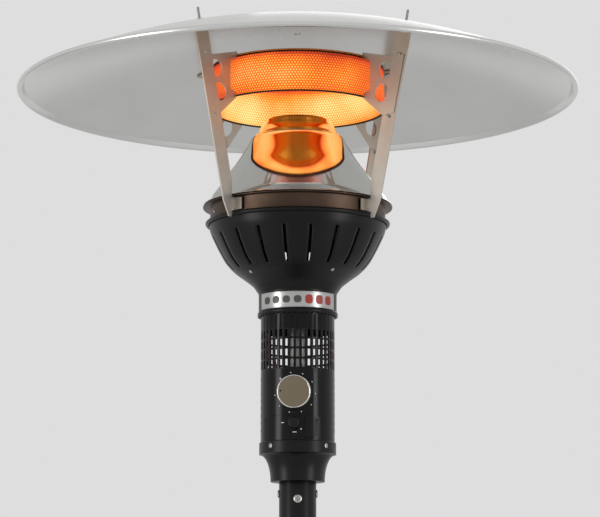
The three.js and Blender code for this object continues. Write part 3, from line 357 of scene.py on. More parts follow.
mirror_steel = ringed("mirror_polished_steel", "efefed", "e8e8e6", 0.05, 1.5, 0.002, 0.02)
spun_sheet = ringed("spun_polished_aluminium", "dcdcda", "d2d2d0", 0.26, 2.4, 0.003, 0.04)
print("polished metals ready")

# %% [markdown]
# ## Camera, floor and light
#
# A long lens, well below the bowl and tilted up, shows the underside of the dish. The floor is
# plain and pale. Two large soft lights stand left and right, as in a product studio, with a weaker
# one behind, and the pale surroundings fill in the rest.

# %% Camera
camera_turn = math.radians(4.5)
camera_distance = 3.815
camera_height = 1.2076
camera_side = 0.0036
camera_pitch = math.radians(9.475)
lens_mm = 148.87

toward = np.array([math.sin(camera_turn), -math.cos(camera_turn), 0.0])
aside = np.array([math.cos(camera_turn), math.sin(camera_turn), 0.0])
camera_data = bpy.data.cameras.new("camera")
camera_data.sensor_width = 36
camera_data.lens = lens_mm
camera_data.clip_end = 60
camera = bpy.data.objects.new("camera", camera_data)
camera.location = toward * camera_distance + aside * camera_side + np.array([0, 0, camera_height])
camera.rotation_euler = (math.pi / 2 + camera_pitch, 0, camera_turn)
bpy.context.scene.collection.objects.link(camera)
bpy.context.scene.camera = camera
bpy.context.scene.view_settings.view_transform = "Standard"
print("camera at", [round(float(v), 3) for v in camera.location])

# %% Floor
floor_paint = finish("pale_studio_floor", "dedede", "d9d9d9", 0.7, 0.0, 3.0, 0.05, patch_mm=400)
floor_size = 12000.0
floor_lines = 9
floor_drop = 0.2
floor_line = np.linspace(-floor_size / 2, floor_size / 2, floor_lines)
floor_x, floor_y = np.meshgrid(floor_line, floor_line, indexing="ij")
floor_mesh = bpy.data.meshes.new("floor")
floor_points = np.stack([floor_x, floor_y, 0 * floor_x - floor_drop], -1).reshape(-1, 3) * MM
floor_mesh.from_pydata(floor_points.tolist(), [], grid_faces(floor_lines, floor_lines, False, False).tolist())
floor_mesh.flip_normals()
floor_mesh.materials.append(floor_paint)
floor = bpy.data.objects.new("floor", floor_mesh)
bpy.context.scene.collection.objects.link(floor)
print("floor", floor_size, "mm square")

# %% Light


def soft_light(name, place, aim, size, power):
    """A rectangular area light at a place, turned to a point."""
    data = bpy.data.lights.new(name, "AREA")
    data.shape = "RECTANGLE"
    data.size, data.size_y = size
    data.energy = power
    light = bpy.data.objects.new(name, data)
    way = np.array(aim) - np.array(place)
    flat = math.hypot(way[0], way[1])
    light.location = place
    light.rotation_euler = (math.pi / 2 + math.atan2(way[2], flat), 0, math.atan2(-way[0], way[1]))
    bpy.context.scene.collection.objects.link(light)


soft_light("key_left", (-2.9, -2.0, 1.5), (0, 0, 1.8), (1.0, 2.0), 34)
soft_light("fill_right", (2.9, -1.6, 1.4), (0, 0, 1.8), (0.8, 2.0), 26)
soft_light("rim_back", (0.6, 3.0, 3.2), (0, 0, 1.9), (2.0, 1.0), 8)
world = bpy.data.worlds.new("pale_surroundings")
world.use_nodes = True
world.node_tree.nodes["Background"].inputs["Color"].default_value = linear("dedede")
world.node_tree.nodes["Background"].inputs["Strength"].default_value = 1.0
bpy.context.scene.world = world

# %% [markdown]
# ## The reflector dish
#
# The dish is one disc of aluminium spun over a former into a shallow parabola, with its edge rolled
# into a bead. A lathe profile fits it exactly: radius and height along one line, turned round the
# pole. The height of the sheet is crown * (1 - (r / R)^2), and the bead is a circle at the rim.

# %% Reflector dish
dish_wall = 1.6
dish_edge = dish_radius - dish_bead
dish_radii = np.linspace(0, dish_edge, 60)


def dish_height(radius):
    """Middle of the sheet above its rim: crown * (1 - (radius / dish radius)^2)."""
    return dish_rim + dish_crown * (1 - (radius / dish_radius) ** 2)


def reflector_dish():
    """The parabola's top, once round the rolled edge, and back along its underside."""
    turn = np.radians(np.linspace(150, -150, 22))
    top = np.stack([dish_radii[:-1], dish_height(dish_radii[:-1]) + dish_wall / 2], 1)
    bead = np.stack([dish_edge + dish_bead * np.cos(turn), dish_rim + dish_bead * np.sin(turn)], 1)
    under = np.stack([dish_radii[:-1], dish_height(dish_radii[:-1]) - dish_wall / 2], 1)[::-1]
    return np.concatenate([top, bead, under])


dish = spun("reflector_dish", reflector_dish(), spun_sheet, "reflector_sheet", sides=256)
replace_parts(dish, "reflector")
print("dish faces:", len(dish.data.polygons))

# %% [markdown]
# ## The emitter screen
#
# The screen is a drum of perforated heat-resistant steel, and it glows. The holes are punched in
# staggered rows 4.5 mm apart, so each belongs to a six-sided cell. One cell is six four-sided faces
# between its outline and its hole, and the whole drum is that cell repeated over a grid of centres,
# wrapped to a slight taper. Cutting each hole with a boolean would take thousands of operations.

# %% Perforated drum
hole_pitch = 4.5
hole_share = 0.62
edge_reach = 1.6
screen_radius_top = radius_of("emitter_cap") - edge_reach
screen_radius_low = radius_of("emitter_screen") - edge_reach
screen_wall = 1.0
hole_columns = 2 * round(np.pi * screen_radius_top / hole_pitch)
row_step = hole_pitch * math.sqrt(3) / 2
hole_rows = int((screen_top - screen_low - 2) / row_step)


def screen_radius(height):
    """The drum's taper: radius falls in a straight line from its lower edge to its upper edge."""
    share = (height - screen_low) / (screen_top - screen_low)
    return screen_radius_low + (screen_radius_top - screen_radius_low) * share


def drum_cells(inset=0.0):
    """Cell centres plus six corners at 60 degree steps, wrapped: angle = across / radius."""
    row, column = np.meshgrid(np.arange(hole_rows), np.arange(hole_columns), indexing="ij")
    across = (column + 0.5 * (row % 2)) * hole_pitch
    height = screen_low + hole_pitch / math.sqrt(3) + row * row_step
    corner = np.radians(30 + 60 * np.arange(6))
    reach = hole_pitch / math.sqrt(3)
    offset = np.stack([np.cos(corner), np.sin(corner)], 1) * reach
    flat = np.stack([across, height], -1)[:, :, None, None] + np.stack([offset, offset * hole_share])
    angle = flat[..., 0] * 2 * np.pi / (hole_columns * hole_pitch)
    radius = screen_radius(flat[..., 1]) - inset
    points = np.stack([radius * np.sin(angle), -radius * np.cos(angle), flat[..., 1]], -1)
    side = np.arange(6)
    ring = np.stack([side, (side + 1) % 6, (side + 1) % 6 + 6, side + 6], -1)
    cells = np.arange(hole_rows * hole_columns)[:, None, None] * 12
    return points.reshape(-1, 3), (cells + ring).reshape(-1, 4)


# %% [markdown]
# The glow follows the gas: hottest half way up, cooler at both edges, and uneven round the drum.
# The finish works out a heat number from the height: a hump, less a fall at the top edge, plus a
# fine and a slow noise. A ramp turns that number into the colour of hot steel. Here the emitter is
# a sandwich: a fine gauze between two perforated sheets. The gauze glows yellow, so it shows as
# bright dots through the redder outer sheet, and the inner sheet is hotter than the outer one.

# %% Glowing steel
outer_heat = [(0.0, "3c120c"), (0.25, "8a1c14"), (0.45, "c83a1c"), (0.7, "e8561e"), (1.0, "ff8a30")]
gauze_heat = [(0.0, "a82c14"), (0.25, "e05020"), (0.48, "ff8a24"), (0.72, "ffbe3c"), (1.0, "fff0a8")]
inner_heat = [(0.0, "a83018"), (0.3, "e85428"), (0.5, "fb7c34"), (0.75, "ffae54"), (1.0, "ffd888")]
hottest_share, hottest, cooling, cooling_power = 0.42, 0.72, 1.3, 2.2


def glowing_steel(name, colours, strength, inner_gain=0.0):
    """Emission coloured by heat = hottest - cooling * |share - hottest share| ^ power, and some noise.

    share runs from 0 at the drum's lower edge to 1 at its top; inner_gain is added on the faces that
    look towards the pole.
    """
    material = finish(name, "8a4a30", "6a3420", 0.5, 1.0, 1.0, 0.02)
    tree = material.node_tree
    shader = tree.nodes["Principled BSDF"]
    place = add(tree, "ShaderNodeTexCoord")
    split = add(tree, "ShaderNodeSeparateXYZ", {0: place.outputs["Object"]})
    share = add(tree, "ShaderNodeMapRange", {0: split.outputs["Z"], 1: screen_low * MM, 2: screen_top * MM})
    away = worked(tree, "ABSOLUTE", worked(tree, "SUBTRACT", share.outputs[0], hottest_share))
    heat = worked(tree, "MULTIPLY_ADD", worked(tree, "POWER", away, cooling_power), -cooling, hottest)
    edge = add(tree, "ShaderNodeMapRange", {0: share.outputs[0], 1: 0.86, 2: 1.0, 3: 0.0, 4: -0.28})
    flat = add(tree, "ShaderNodeVectorMath", {0: place.outputs["Object"], 1: (1, 1, 0)}, operation="MULTIPLY")
    out = add(tree, "ShaderNodeVectorMath", {0: flat.outputs[0]}, operation="NORMALIZE")
    facing = add(tree, "ShaderNodeVectorMath", {0: place.outputs["Normal"], 1: out.outputs[0]},
                 operation="DOT_PRODUCT")
    inside = add(tree, "ShaderNodeMapRange", {0: facing.outputs["Value"], 1: 0.3, 2: -0.3, 3: 0.0,
                                              4: inner_gain})
    mottle = add(tree, "ShaderNodeTexNoise", {"Vector": place.outputs["Object"], "Scale": 30.0,
                                              "Detail": 2.0})
    spread = add(tree, "ShaderNodeMapRange", {0: mottle.outputs[0], 3: -0.12, 4: 0.12})
    slow = add(tree, "ShaderNodeTexNoise", {"Vector": place.outputs["Object"], "Scale": 9.0, "Detail": 1.0})
    drift = add(tree, "ShaderNodeMapRange", {0: slow.outputs[0], 1: 0.3, 2: 0.7, 3: -0.16, 4: 0.16})
    for part in (edge, inside, spread, drift):
        heat = worked(tree, "ADD", heat, part.outputs[0])
    ramp = add(tree, "ShaderNodeValToRGB", {0: heat})
    stops = ramp.color_ramp.elements
    while len(stops) < len(colours):
        stops.new(0.5)
    for stop, (position, code) in zip(stops, colours):
        stop.position = position
        stop.color = linear(code)
    tree.links.new(ramp.outputs[0], shader.inputs["Emission Color"])
    shader.inputs["Emission Strength"].default_value = strength
    return material


# %% Emitter sheets
gauze_inset, gauze_wall = 1.2, 0.3
liner_inset, liner_wall = 1.7, 0.8
screen = piece("emitter_mesh", *drum_cells(), glowing_steel("glowing_perforated_steel", outer_heat, 1.0),
               "glowing_mesh")
liner_steel = glowing_steel("white_hot_perforated_steel", inner_heat, 1.2)
liner = piece("emitter_liner", *drum_cells(liner_inset), liner_steel, "glowing_mesh")
levels = np.linspace(screen_low + 1.5, screen_top - 1.0, 12)
gauze_outside = np.stack([screen_radius(levels) - gauze_inset, levels], 1)
gauze_line = np.concatenate([gauze_outside, (gauze_outside - [gauze_wall, 0])[::-1]])
gauze_steel = glowing_steel("glowing_wire_gauze", gauze_heat, 1.15, 0.25)
gauze = spun("emitter_gauze", gauze_line, gauze_steel, "glowing_mesh", sides=192)
thick(screen, screen_wall)
thick(liner, liner_wall)
for made in (screen, liner, gauze):
    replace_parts(made, "emitter_screen")
print("holes:", 2 * hole_rows * hole_columns, "faces:", len(screen.data.polygons))

# %% [markdown]
# ## Ceiling plate, cone, burner cap and band
#
# These four are spun steel. The ceiling plate closes the drum; its orange-brown colour is painted glow
# light from the screen round it. The mirror cone throws the heat outwards, and a plain cap covers the
# burner above it. Each is a line through a few turning points, made into a closed profile and turned
# round the pole. The cone's side is given by its slope at a few distances in from its foot, and the
# last slope closes its height.

# %% Heat-tinted steel and painted glow light


def tinted(name, light, dark, rough, low_code, high_code, low_z, high_z):
    """Brushed steel multiplied by a colour that runs up a height, broken up by noise: heat tint on the band,
    painted glow light on the struts.
    """
    material = finish(name, light, dark, rough, 1.0, 0.9, 0.015, stretch=(1, 1, 0.08), patch_mm=35)
    tree = material.node_tree
    shader = tree.nodes["Principled BSDF"]
    base = shader.inputs["Base Color"].links[0].from_socket
    place = add(tree, "ShaderNodeTexCoord")
    split = add(tree, "ShaderNodeSeparateXYZ", {0: place.outputs["Object"]})
    noise = add(tree, "ShaderNodeTexNoise", {"Vector": place.outputs["Object"], "Scale": 22.0, "Detail": 3.0})
    push = add(tree, "ShaderNodeMapRange", {0: noise.outputs[0], 3: -12 * MM, 4: 12 * MM})
    height = worked(tree, "ADD", split.outputs["Z"], push.outputs[0])
    share = add(tree, "ShaderNodeMapRange", {0: height, 1: low_z * MM, 2: high_z * MM})
    tint = add(tree, "ShaderNodeMix", {0: share.outputs[0], 6: linear(low_code), 7: linear(high_code)},
               data_type="RGBA")
    whole = add(tree, "ShaderNodeMix", {0: 1.0, 6: base, 7: tint.outputs[2]}, data_type="RGBA",
                blend_type="MULTIPLY")
    tree.links.new(whole.outputs[2], shader.inputs["Base Color"])
    return material


band_steel = tinted("heat_tinted_band_steel", "8e8078", "625850", 0.42, "94857a", "b0a297", band_low,
                    band_top)
# The ceiling plate's orange-brown colour is painted glow light from the screen round it; its tint stays
# white.
plate_steel = tinted("ceiling_steel_painted_glow_light", "dc8830", "a45c1c", 0.3, "ffffff", "ffffff", 0, 1)
# The struts and gussets get a painted pink glow light that grows towards the top of the screen.
strut_steel = tinted("brushed_strut_steel_painted_glow", "cfc8be", "b2aaa0", 0.42, "ffffff", "fbeee4", band_top,
                     screen_top)
dark_edge = finish("heat_blackened_steel", "3a2a20", "241a14", 0.5, 1.0, 0.8, 0.02)
print("heat tints ready")

# %% Ceiling plate
plate_low, plate_high = heights_of("emitter_cap")
plate_radius = radius_of("emitter_cap")
plate_line = flowing([(0, plate_high - 1.4), (plate_radius * 0.5, plate_high - 5.5),
                      (plate_radius - 18, plate_low + 0.6), (plate_radius - 9, plate_low + 0.1)], 5)
plate_outline = np.concatenate([plate_line, [(plate_radius, plate_low), (plate_radius, plate_low + 1.4),
                                             (plate_radius - 9, plate_low + 1.5)],
                                plate_line[:-1][::-1] + [0, 1.4]])
ceiling = spun("ceiling_plate", plate_outline, plate_steel, "tinted_steel", sides=128)
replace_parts(ceiling, "emitter_cap")

top_edge = spun("screen_top_edge", rounded([
    (screen_radius_top - 1.2, screen_top - 2.4), (screen_radius_top + 0.5, screen_top - 2.4),
    (screen_radius_top + 0.5, screen_top), (screen_radius_top - 1.2, screen_top)], 0.4, 2), dark_edge,
    "tinted_steel", sides=128)
hem = spun("screen_hem", rounded([
    (screen_radius_low - 2.8, screen_low), (screen_radius_low + 1.4, screen_low),
    (screen_radius_low + 1.4, screen_low + 2.2), (screen_radius_low - 2.8, screen_low + 2.2)], 0.5, 2),
           dark_edge,
    "tinted_steel", sides=128)
for made in (top_edge, hem):
    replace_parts(made, "emitter_screen")
print("ceiling plate", round(2 * plate_radius), "mm across")

# %% Mirror cone
cone_edge = radius_of("deflector_cone")
cone_base = lip_low + 11.5
cone_foot = 139.5
cone_head = 71.5
cone_bore = 45.0
cone_span = cone_foot - cone_head
slope_marks = np.array([0, 9.5, 21.0, 40.0, cone_span])
slopes = np.array([1.25, 1.30, 1.341, 1.37])
risen = np.sum(np.diff(slope_marks[:-1]) * (slopes[1:] + slopes[:-1]) / 2)
head_slope = 2 * (cone_top - cone_base - risen) / (cone_span - slope_marks[-2]) - slopes[-1]
inward = np.linspace(0, cone_span - 2.4, 40)
slope = np.interp(inward, slope_marks, [*slopes, head_slope])
climb = np.cumsum([0, *(np.diff(inward) * (slope[1:] + slope[:-1]) / 2)])
side_line = np.stack([cone_foot - inward, cone_base + climb], 1)
cone_line = np.concatenate([
    [(cone_edge - 2.2, lip_low + 0.3), (cone_edge - 0.2, lip_low + 1.0), (cone_edge - 0.8, lip_low + 1.9),
     (cone_foot + 5.0, lip_low + 2.6), (cone_foot + 4.2, lip_low + 3.4)], side_line,
    flowing([(cone_head + 1.3, cone_top - 1.7), (cone_head - 0.6, cone_top - 0.3),
             (cone_head - 3.4, cone_top)], 3),
    [(cone_bore, cone_top)]])
cone = spun("mirror_cone", walled(cone_line, 1.3), mirror_steel, "polished_steel", sides=192, sharp=12)
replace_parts(cone, "deflector_cone")
print("cone from", round(cone_foot), "to", round(cone_head), "mm radius")

# %% Burner cap
cap_low, cap_top = heights_of("burner_cap")
cap_base = radius_of("burner_cap")
cap_head = 50.4
cap_line = np.concatenate([
    [(cap_base - 1.0, cap_low), (cap_base, cap_low + 1.0), (cap_base - 1.0, cap_low + 2.6),
     (cap_base - 4.2, cap_low + 3.0)],
    flowing([(cap_base - 5.4, cap_low + 4.4), (cap_head + 8.2, cap_top - 12.4),
             (cap_head + 6.6, cap_top - 10.8),
             (cap_head + 5.2, cap_top - 8.6), (cap_head + 1.6, cap_top - 2.6), (cap_head - 1.8, cap_top)], 5),
    [(cap_head - 4, cap_top), (0, cap_top)]])
cap = spun("burner_hood", walled(cap_line, 1.2), mirror_steel, "polished_steel", sides=128, sharp=40)
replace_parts(cap, "burner_cap")
print("burner cap", round(cap_top - cap_low), "mm tall")

# %% Burner band and its flange
band_radius = 136.8
flange_edge = radius_of("burner_band")
band_line = [(flange_edge, band_top - 1.4), (flange_edge, band_top), (band_radius - 1.5, band_top),
             (band_radius - 1.5, band_low), (band_radius, band_low), (band_radius, band_top - 1.4)]
band = spun("burner_ring_band", rounded(band_line, 0.5, 2), band_steel, "tinted_steel", sides=192)
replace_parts(band, "burner_band")
print("band", round(2 * band_radius), "mm across")

# %% [markdown]
# ## Screws, rivets and bolts
#
# A pan head is a low dome with a cross sunk into it. The dome is a height over radius and angle; the
# cross lowers the points that lie within its arms. The finished head is then aimed along the normal
# of the sheet it holds, by the rotation that takes +Z to that direction.

# %% Fastener helpers
def aimed(points, direction, at):
    """Points around +Z turned so that +Z lies along a direction, and moved to a place."""
    turn = np.array(Vector((0, 0, 1)).rotation_difference(Vector(direction)).to_matrix())
    return np.asarray(points).reshape(-1, 3) @ turn.T + np.asarray(at)


def outward_way(azimuth, tilt=0.0):
    """Unit direction away from the pole at an azimuth in degrees, tilted up or down."""
    a, t = math.radians(azimuth), math.radians(tilt)
    return np.array([math.sin(a) * math.cos(t), -math.cos(a) * math.cos(t), math.sin(t)])


def turned_points(outline, sides):
    """A profile of [radius, height] turned about +Z, ready to be aimed."""
    radius, height = np.asarray(outline, float).T[:, :, None]
    angle = around(sides)
    return np.stack([radius * np.cos(angle), radius * np.sin(angle), height + 0 * angle], -1)


def turned_shape(outline, sides, direction, at):
    """Points and faces of a closed profile turned about a direction through a place."""
    return aimed(turned_points(outline, sides), direction, at), grid_faces(len(outline), sides, True, True)


def together(*shapes):
    """Several shapes as one set of points and faces."""
    starts = np.cumsum([0] + [len(points) for points, _ in shapes[:-1]])
    faces = [[int(corner) + int(start) for corner in face]
             for (_, corners), start in zip(shapes, starts) for face in corners]
    return np.concatenate([points for points, _ in shapes]), faces


def cross_head(radius, height, sides=24):
    """Dome height * sqrt(1 - 0.8 (r/R)^2), less a cross recess with arms 0.13 R half wide and 0.56 R long."""
    ring = np.array([0, 0.12, 0.2, 0.3, 0.42, 0.55, 0.62, 0.75, 0.88, 0.97, 1.0]) * radius
    dome = height * np.sqrt(1 - 0.8 * (ring / radius) ** 2)
    outline = np.concatenate([np.stack([ring, dome], 1), [(radius, 0), (0, 0)]])
    points = turned_points(outline, sides)
    x, y = np.abs(points[..., 0]), np.abs(points[..., 1])
    arm = (np.minimum(x, y) < 0.13 * radius) & (np.maximum(x, y) < 0.56 * radius) & (points[..., 2] > 0)
    points[..., 2] -= arm * height * 0.55
    return points.reshape(-1, 3), grid_faces(len(outline), sides, True, True)


def many(name, shape, places, material, slot, **how):
    """One mesh of the same small shape set at several places: [direction, point] pairs."""
    points, faces = shape
    sets = [(aimed(points, direction, at), faces) for direction, at in places]
    return piece(name, *together(*sets), material, slot, **how)


def middle_of(node):
    """Centre of a node's box."""
    low, high = span(node)
    return (low + high) / 2


print("fasteners ready")

# %% Screws in the pole and the collar
quarters = ["front", "right", "rear", "left"]
pole_screw_head = cross_head(6.2, 2.8)
collar_screw_head = cross_head(3.6, 2.0)
pole_seat, collar_seat = 28.6, 59.3
for side in quarters:
    for node, head, seat in ((f"pole_screw_{side}", pole_screw_head, pole_seat),
                             (f"collar_screw_{side}", collar_screw_head, collar_seat)):
        centre = middle_of(node)
        way = np.array([centre[0], centre[1], 0]) / math.hypot(centre[0], centre[1])
        head_at = way * seat + np.array([0, 0, centre[2]])
        screw = many(node + "_head", head, [(way, head_at)], zinc_steel, "zinc_steel")
        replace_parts(screw, node)
print("8 cross-head screws")

# %% [markdown]
# ## Struts and gussets
#
# Each strut is a flat bar of stainless steel on edge, and each gusset a thinner plate riveted to it.
# Their measured shapes are right, but laser-cut plate has edges eased by tumbling. So each is a
# welded copy of its node with a very small bevel, which catches the light as a thin line.

# %% Plates with eased edges
plate_angle = math.radians(35)
body_of = {node: body for body, nodes in frame["record"]["behaviour"]["bodies"].items() for node in nodes}


def eased(node, material, width_mm=0.35):
    """A welded copy of a node with its flat faces merged and a fine bevel along its sharp edges."""
    mesh = frame["nodes"][node].data.copy()
    mesh.name = node + "_plate"
    work = bmesh.new()
    work.from_mesh(mesh)
    bmesh.ops.remove_doubles(work, verts=work.verts, dist=1e-6)
    bmesh.ops.dissolve_limit(work, angle_limit=math.radians(0.5), verts=work.verts, edges=work.edges)
    work.to_mesh(mesh)
    work.free()
    mesh.shade_smooth()
    mesh.set_sharp_from_angle(angle=plate_angle)
    mesh.materials.clear()
    mesh.materials.append(material)
    made = bpy.data.objects.new(node + "_eased", mesh)
    bpy.context.scene.collection.objects.link(made)
    bevel = made.modifiers.new("eased", "BEVEL")
    bevel.width = width_mm * MM
    bevel.segments = 2
    bevel.limit_method = "ANGLE"
    bevel.angle_limit = plate_angle
    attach(made, body_of[node])
    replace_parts(made, node)
    return made


corners = {"front_left": -37.5, "front_right": 52.5, "rear_right": 142.5, "rear_left": 226.5}
for corner in corners:
    eased(f"strut_{corner}", strut_steel)
    eased(f"gusset_{corner}", strut_steel, 0.25)
print("4 struts, 4 gussets")

# %% Bolts through the dish
bolt_circle = 221.0
bolt_tilt = math.atan(2 * dish_crown * bolt_circle / dish_radius ** 2)
bolt_above, bolt_under = dish_wall / 2 + 0.3, -(dish_wall / 2 + 0.7 + 2 + 0.3)
thread_radius, thread_depth, thread_length = 2.0, 0.2, 22.0
thread_height = np.linspace(bolt_under, bolt_above + thread_length, 90)
thread = np.stack([thread_radius + thread_depth * np.cos(thread_height * 2 * np.pi), thread_height], 1)
rod_end = bolt_above + thread_length + 0.6
rod_outline = np.concatenate([[(0, bolt_under)], thread, [(1.4, rod_end), (0, rod_end)]])
nut_outline = np.array([(2.3, 0), (6.0, 0), (6.6, 0.6), (6.6, 4.4), (6.0, 5), (2.3, 5)]) + [0, bolt_above]
head_outline = rounded(np.array([(0, -3), (4.4, -3), (6.6, -1.2), (6.6, 0), (0, 0)]) + [0, bolt_under],
                       0.5, 2)
for corner, azimuth in corners.items():
    way = outward_way(azimuth) * math.sin(bolt_tilt) + np.array([0, 0, math.cos(bolt_tilt)])
    seat = outward_way(azimuth) * bolt_circle + np.array([0, 0, dish_height(bolt_circle)])
    bolt_parts = [turned_shape(outline, sides, way, seat)
                  for outline, sides in ((rod_outline, 12), (nut_outline, 6), (head_outline, 24))]
    bolt = piece(f"dish_bolt_{corner}", *together(*bolt_parts), zinc_steel, "zinc_steel")
    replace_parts(bolt, f"reflector_bolt_{corner}")
print("4 bolts with nuts")

# %% [markdown]
# ## The bowl
#
# The bowl is one deep-drawn sheet: a neck, a hollow sweep, a round side and a rolled rim, with
# twenty long slots punched through the side. Punching with booleans would leave ragged faces. The
# surface is instead a grid whose lines run along the slot edges, so a slot is a row of faces left
# out, and a modifier gives the sheet its thickness.

# %% Slotted sheet


def slot_half(depth, half, end_radius):
    """Half width of a slot at a depth from its end: half - r + sqrt(r^2 - (r - depth)^2) in its round."""
    inside = np.clip(end_radius - depth, 0, end_radius)
    return half - end_radius + np.sqrt(end_radius ** 2 - inside ** 2)


def slotted_sheet(outline, slots, count, first, width, end_radius, per_side=4):
    """Turned sheet with slots: faces between grid lines -h and +h of a sector are left out inside a slot.

    slots is a list of (bottom, top, sectors); the angle of a line is side * (h + (s - h) * t) from the
    slot's middle, where h is the slot's half width as an angle, s half a sector and t runs from 0 to 1.
    """
    steps = end_radius * np.array([0, 0.2, 0.6, 1])
    ends = [z for low, high, _ in slots for z in (*(low + steps), *(high - steps))]
    line = np.asarray(outline, float)
    rising = np.concatenate([[True], np.diff(line[:, 1]) > 0]).cumprod().astype(bool)
    wall, rest = line[rising], line[~rising]
    heights = np.unique(np.round(np.concatenate([wall[:, 1], ends]), 4))
    radii = np.interp(heights, wall[:, 1], wall[:, 0])
    half = np.full(len(heights), width / 2)
    for low, high, _ in slots:
        within = (heights >= low - 1e-6) & (heights <= high + 1e-6)
        depth = np.minimum(heights - low, high - heights)
        half[within] = slot_half(depth[within], width / 2, end_radius)
    heights, radii = np.concatenate([heights, rest[:, 1]]), np.concatenate([radii, rest[:, 0]])
    half = np.concatenate([half, np.full(len(rest), width / 2)])
    t = np.concatenate([-np.linspace(1, 0, per_side + 1), np.linspace(0, 1, per_side + 1)[:-1]])
    side = np.concatenate([-np.ones(per_side + 1), np.ones(per_side)])
    sector = math.pi / count
    edge = (half / radii)[:, None, None]
    middle = np.radians(first) + 2 * sector * np.arange(count)[None, :, None]
    angle = (middle + side * (edge + (sector - edge) * np.abs(t))).reshape(len(heights), -1)
    radii, heights = radii[:, None], heights[:, None]
    points = np.stack([radii * np.sin(angle), -radii * np.cos(angle), heights + 0 * angle], -1)
    rows, columns = angle.shape
    faces = grid_faces(rows, columns, False, True)
    row, column = np.divmod(np.arange(len(faces)), columns)
    level = (heights[row, 0] + heights[row + 1, 0]) / 2
    open_here = np.zeros(len(faces), bool)
    for low, high, sectors in slots:
        chosen = np.isin(column // len(side),
                         np.arange(count) if sectors is None else np.array(sectors) % count)
        open_here |= (column % len(side) == per_side) & chosen & (level > low) & (level < high)
    return points, faces[~open_here]


# %% Bowl
neck_radius = 60.6
neck_lip = 1.6
rim_circle = 3.2
rim_radius = radius_of("bowl") - rim_circle
rim_height = bowl_high - rim_circle
bowl_line = [(neck_radius, 34), (61.4, 37), (64, 41), (70, 49), (83, 59.5), (98, 70.5), (111.5, 85),
             (122, 103), (130, 119), (135.4, 131), (138.2, 141)]
rim_turn = np.radians(np.linspace(215, 480, 14))
bowl_outline = np.concatenate([
    [(neck_radius + neck_lip, 0), (neck_radius + neck_lip, 5.2), (neck_radius + 1.2, 6.4), (neck_radius, 7.4),
     (neck_radius, 20)],
    flowing(bowl_line, 6),
]) + [0, bowl_low]
rim_outline = np.stack([rim_radius + rim_circle * np.cos(rim_turn),
                        rim_height + rim_circle * np.sin(rim_turn)], 1)
slot_low, slot_high = bowl_low + 72, bowl_low + 125
bowl_points, bowl_faces = slotted_sheet(np.concatenate([bowl_outline, rim_outline]),
                                        [(slot_low, slot_high, None)], 20, 13.5, 4.6, 2.3)
bowl = thick(piece("bowl_sheet", bowl_points, bowl_faces, black_paint, "black_paint"), 1.6)
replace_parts(bowl, "bowl")
print("bowl faces:", len(bowl.data.polygons))

# %% [markdown]
# ## Things that lie on a round wall
#
# Badge, panels, covers and printed marks all follow the round housing. Each is a block on a flat
# sheet, a grid with rounded corners and a soft edge, that is then wrapped: the distance across
# becomes an angle, and the height above the sheet is added to the radius.

# %% Blocks and wrapping


def block(width, height, depth, corner, columns=8, rows=6, soft=0.35, root=0.3):
    """Raised block: a grid of across, up, out; the edge lines rise in two steps, and the back closes it."""
    def lines(length, count):
        """Positions along one side of the block, and how far each has risen."""
        inner = np.linspace(soft - length / 2, length / 2 - soft, count)
        return (np.concatenate([[-length / 2] * 2, inner, [length / 2] * 2]),
                np.concatenate([[0, 0.7], np.ones(count), [0.7, 0]]))
    across, rise_across = lines(width, columns)
    up, rise_up = lines(height, rows)
    x, z = np.meshgrid(across, up, indexing="ij")
    a = np.maximum(np.abs(x) - (width / 2 - corner), 0) / corner
    b = np.maximum(np.abs(z) - (height / 2 - corner), 0) / corner
    round_x = np.sign(x) * (np.abs(x) - corner * a * (1 - np.sqrt(1 - b ** 2 / 2)))
    round_z = np.sign(z) * (np.abs(z) - corner * b * (1 - np.sqrt(1 - a ** 2 / 2)))
    out = -root + (depth + root) * np.minimum.outer(rise_across, rise_up)
    front = np.stack([round_x, round_z, out], -1).reshape(-1, 3)
    back = np.stack([round_x, round_z, 0 * out - root], -1).reshape(-1, 3)
    faces = grid_faces(*x.shape, False, False)
    return np.concatenate([front, back]), np.concatenate([faces, faces[:, ::-1] + x.size])


def wrapped(shape, radius, azimuth, height):
    """Across-up-out points laid on a cylinder: angle = azimuth + across / radius, at radius + out."""
    points, faces = shape
    angle = math.radians(azimuth) + points[:, 0] / radius
    far = radius + points[:, 2]
    return np.stack([far * np.sin(angle), -far * np.cos(angle), height + points[:, 1]], 1), faces


# %% Badge plate
badge_low, badge_high = heights_of("badge_plate")
badge_height = badge_high - badge_low
badge_middle = (badge_low + badge_high) / 2
badge_radius = neck_radius + 0.3
badge_width = 2 * math.radians(65) * badge_radius
badge_turn = 4.5
plate = wrapped(block(badge_width, badge_height, 0.7, 1.5, 60, 8), badge_radius, badge_turn, badge_middle)
rail_offset = badge_height / 2 - 0.9
rails = [wrapped(block(badge_width, 1.6, 1.0, 0.7, 60, 3), badge_radius, badge_turn, badge_middle + offset)
         for offset in (-rail_offset, rail_offset)]
badge = piece("badge_sheet", *together(plate, *rails), silver_plate, "silver_plate")
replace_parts(badge, "badge_plate")
mark_pitch = 17.5
red_enamel = finish("red_enamel_inlay", "a83228", "8c241c", 0.35, 0.0, 0.6, 0.01)
grey_enamel = finish("dark_grey_enamel_inlay", "55524f", "403e3c", 0.35, 0.2, 0.6, 0.01)
for name, numbers, paint in (("badge_inlay_grey", (-3, -2, -1, 0), grey_enamel),
                             ("badge_inlay_red", (1, 2, 3), red_enamel)):
    inlays = [wrapped(block(mark_pitch - 5.5, 14 if number > 0 else 11, 0.5, 4.5, 8, 8), badge_radius + 0.7,
                      badge_turn + math.degrees(number * mark_pitch / badge_radius), badge_middle)
              for number in numbers]
    piece(name, *together(*inlays), paint, "silver_plate")
print("badge", round(badge_width), "by", round(badge_height), "mm")

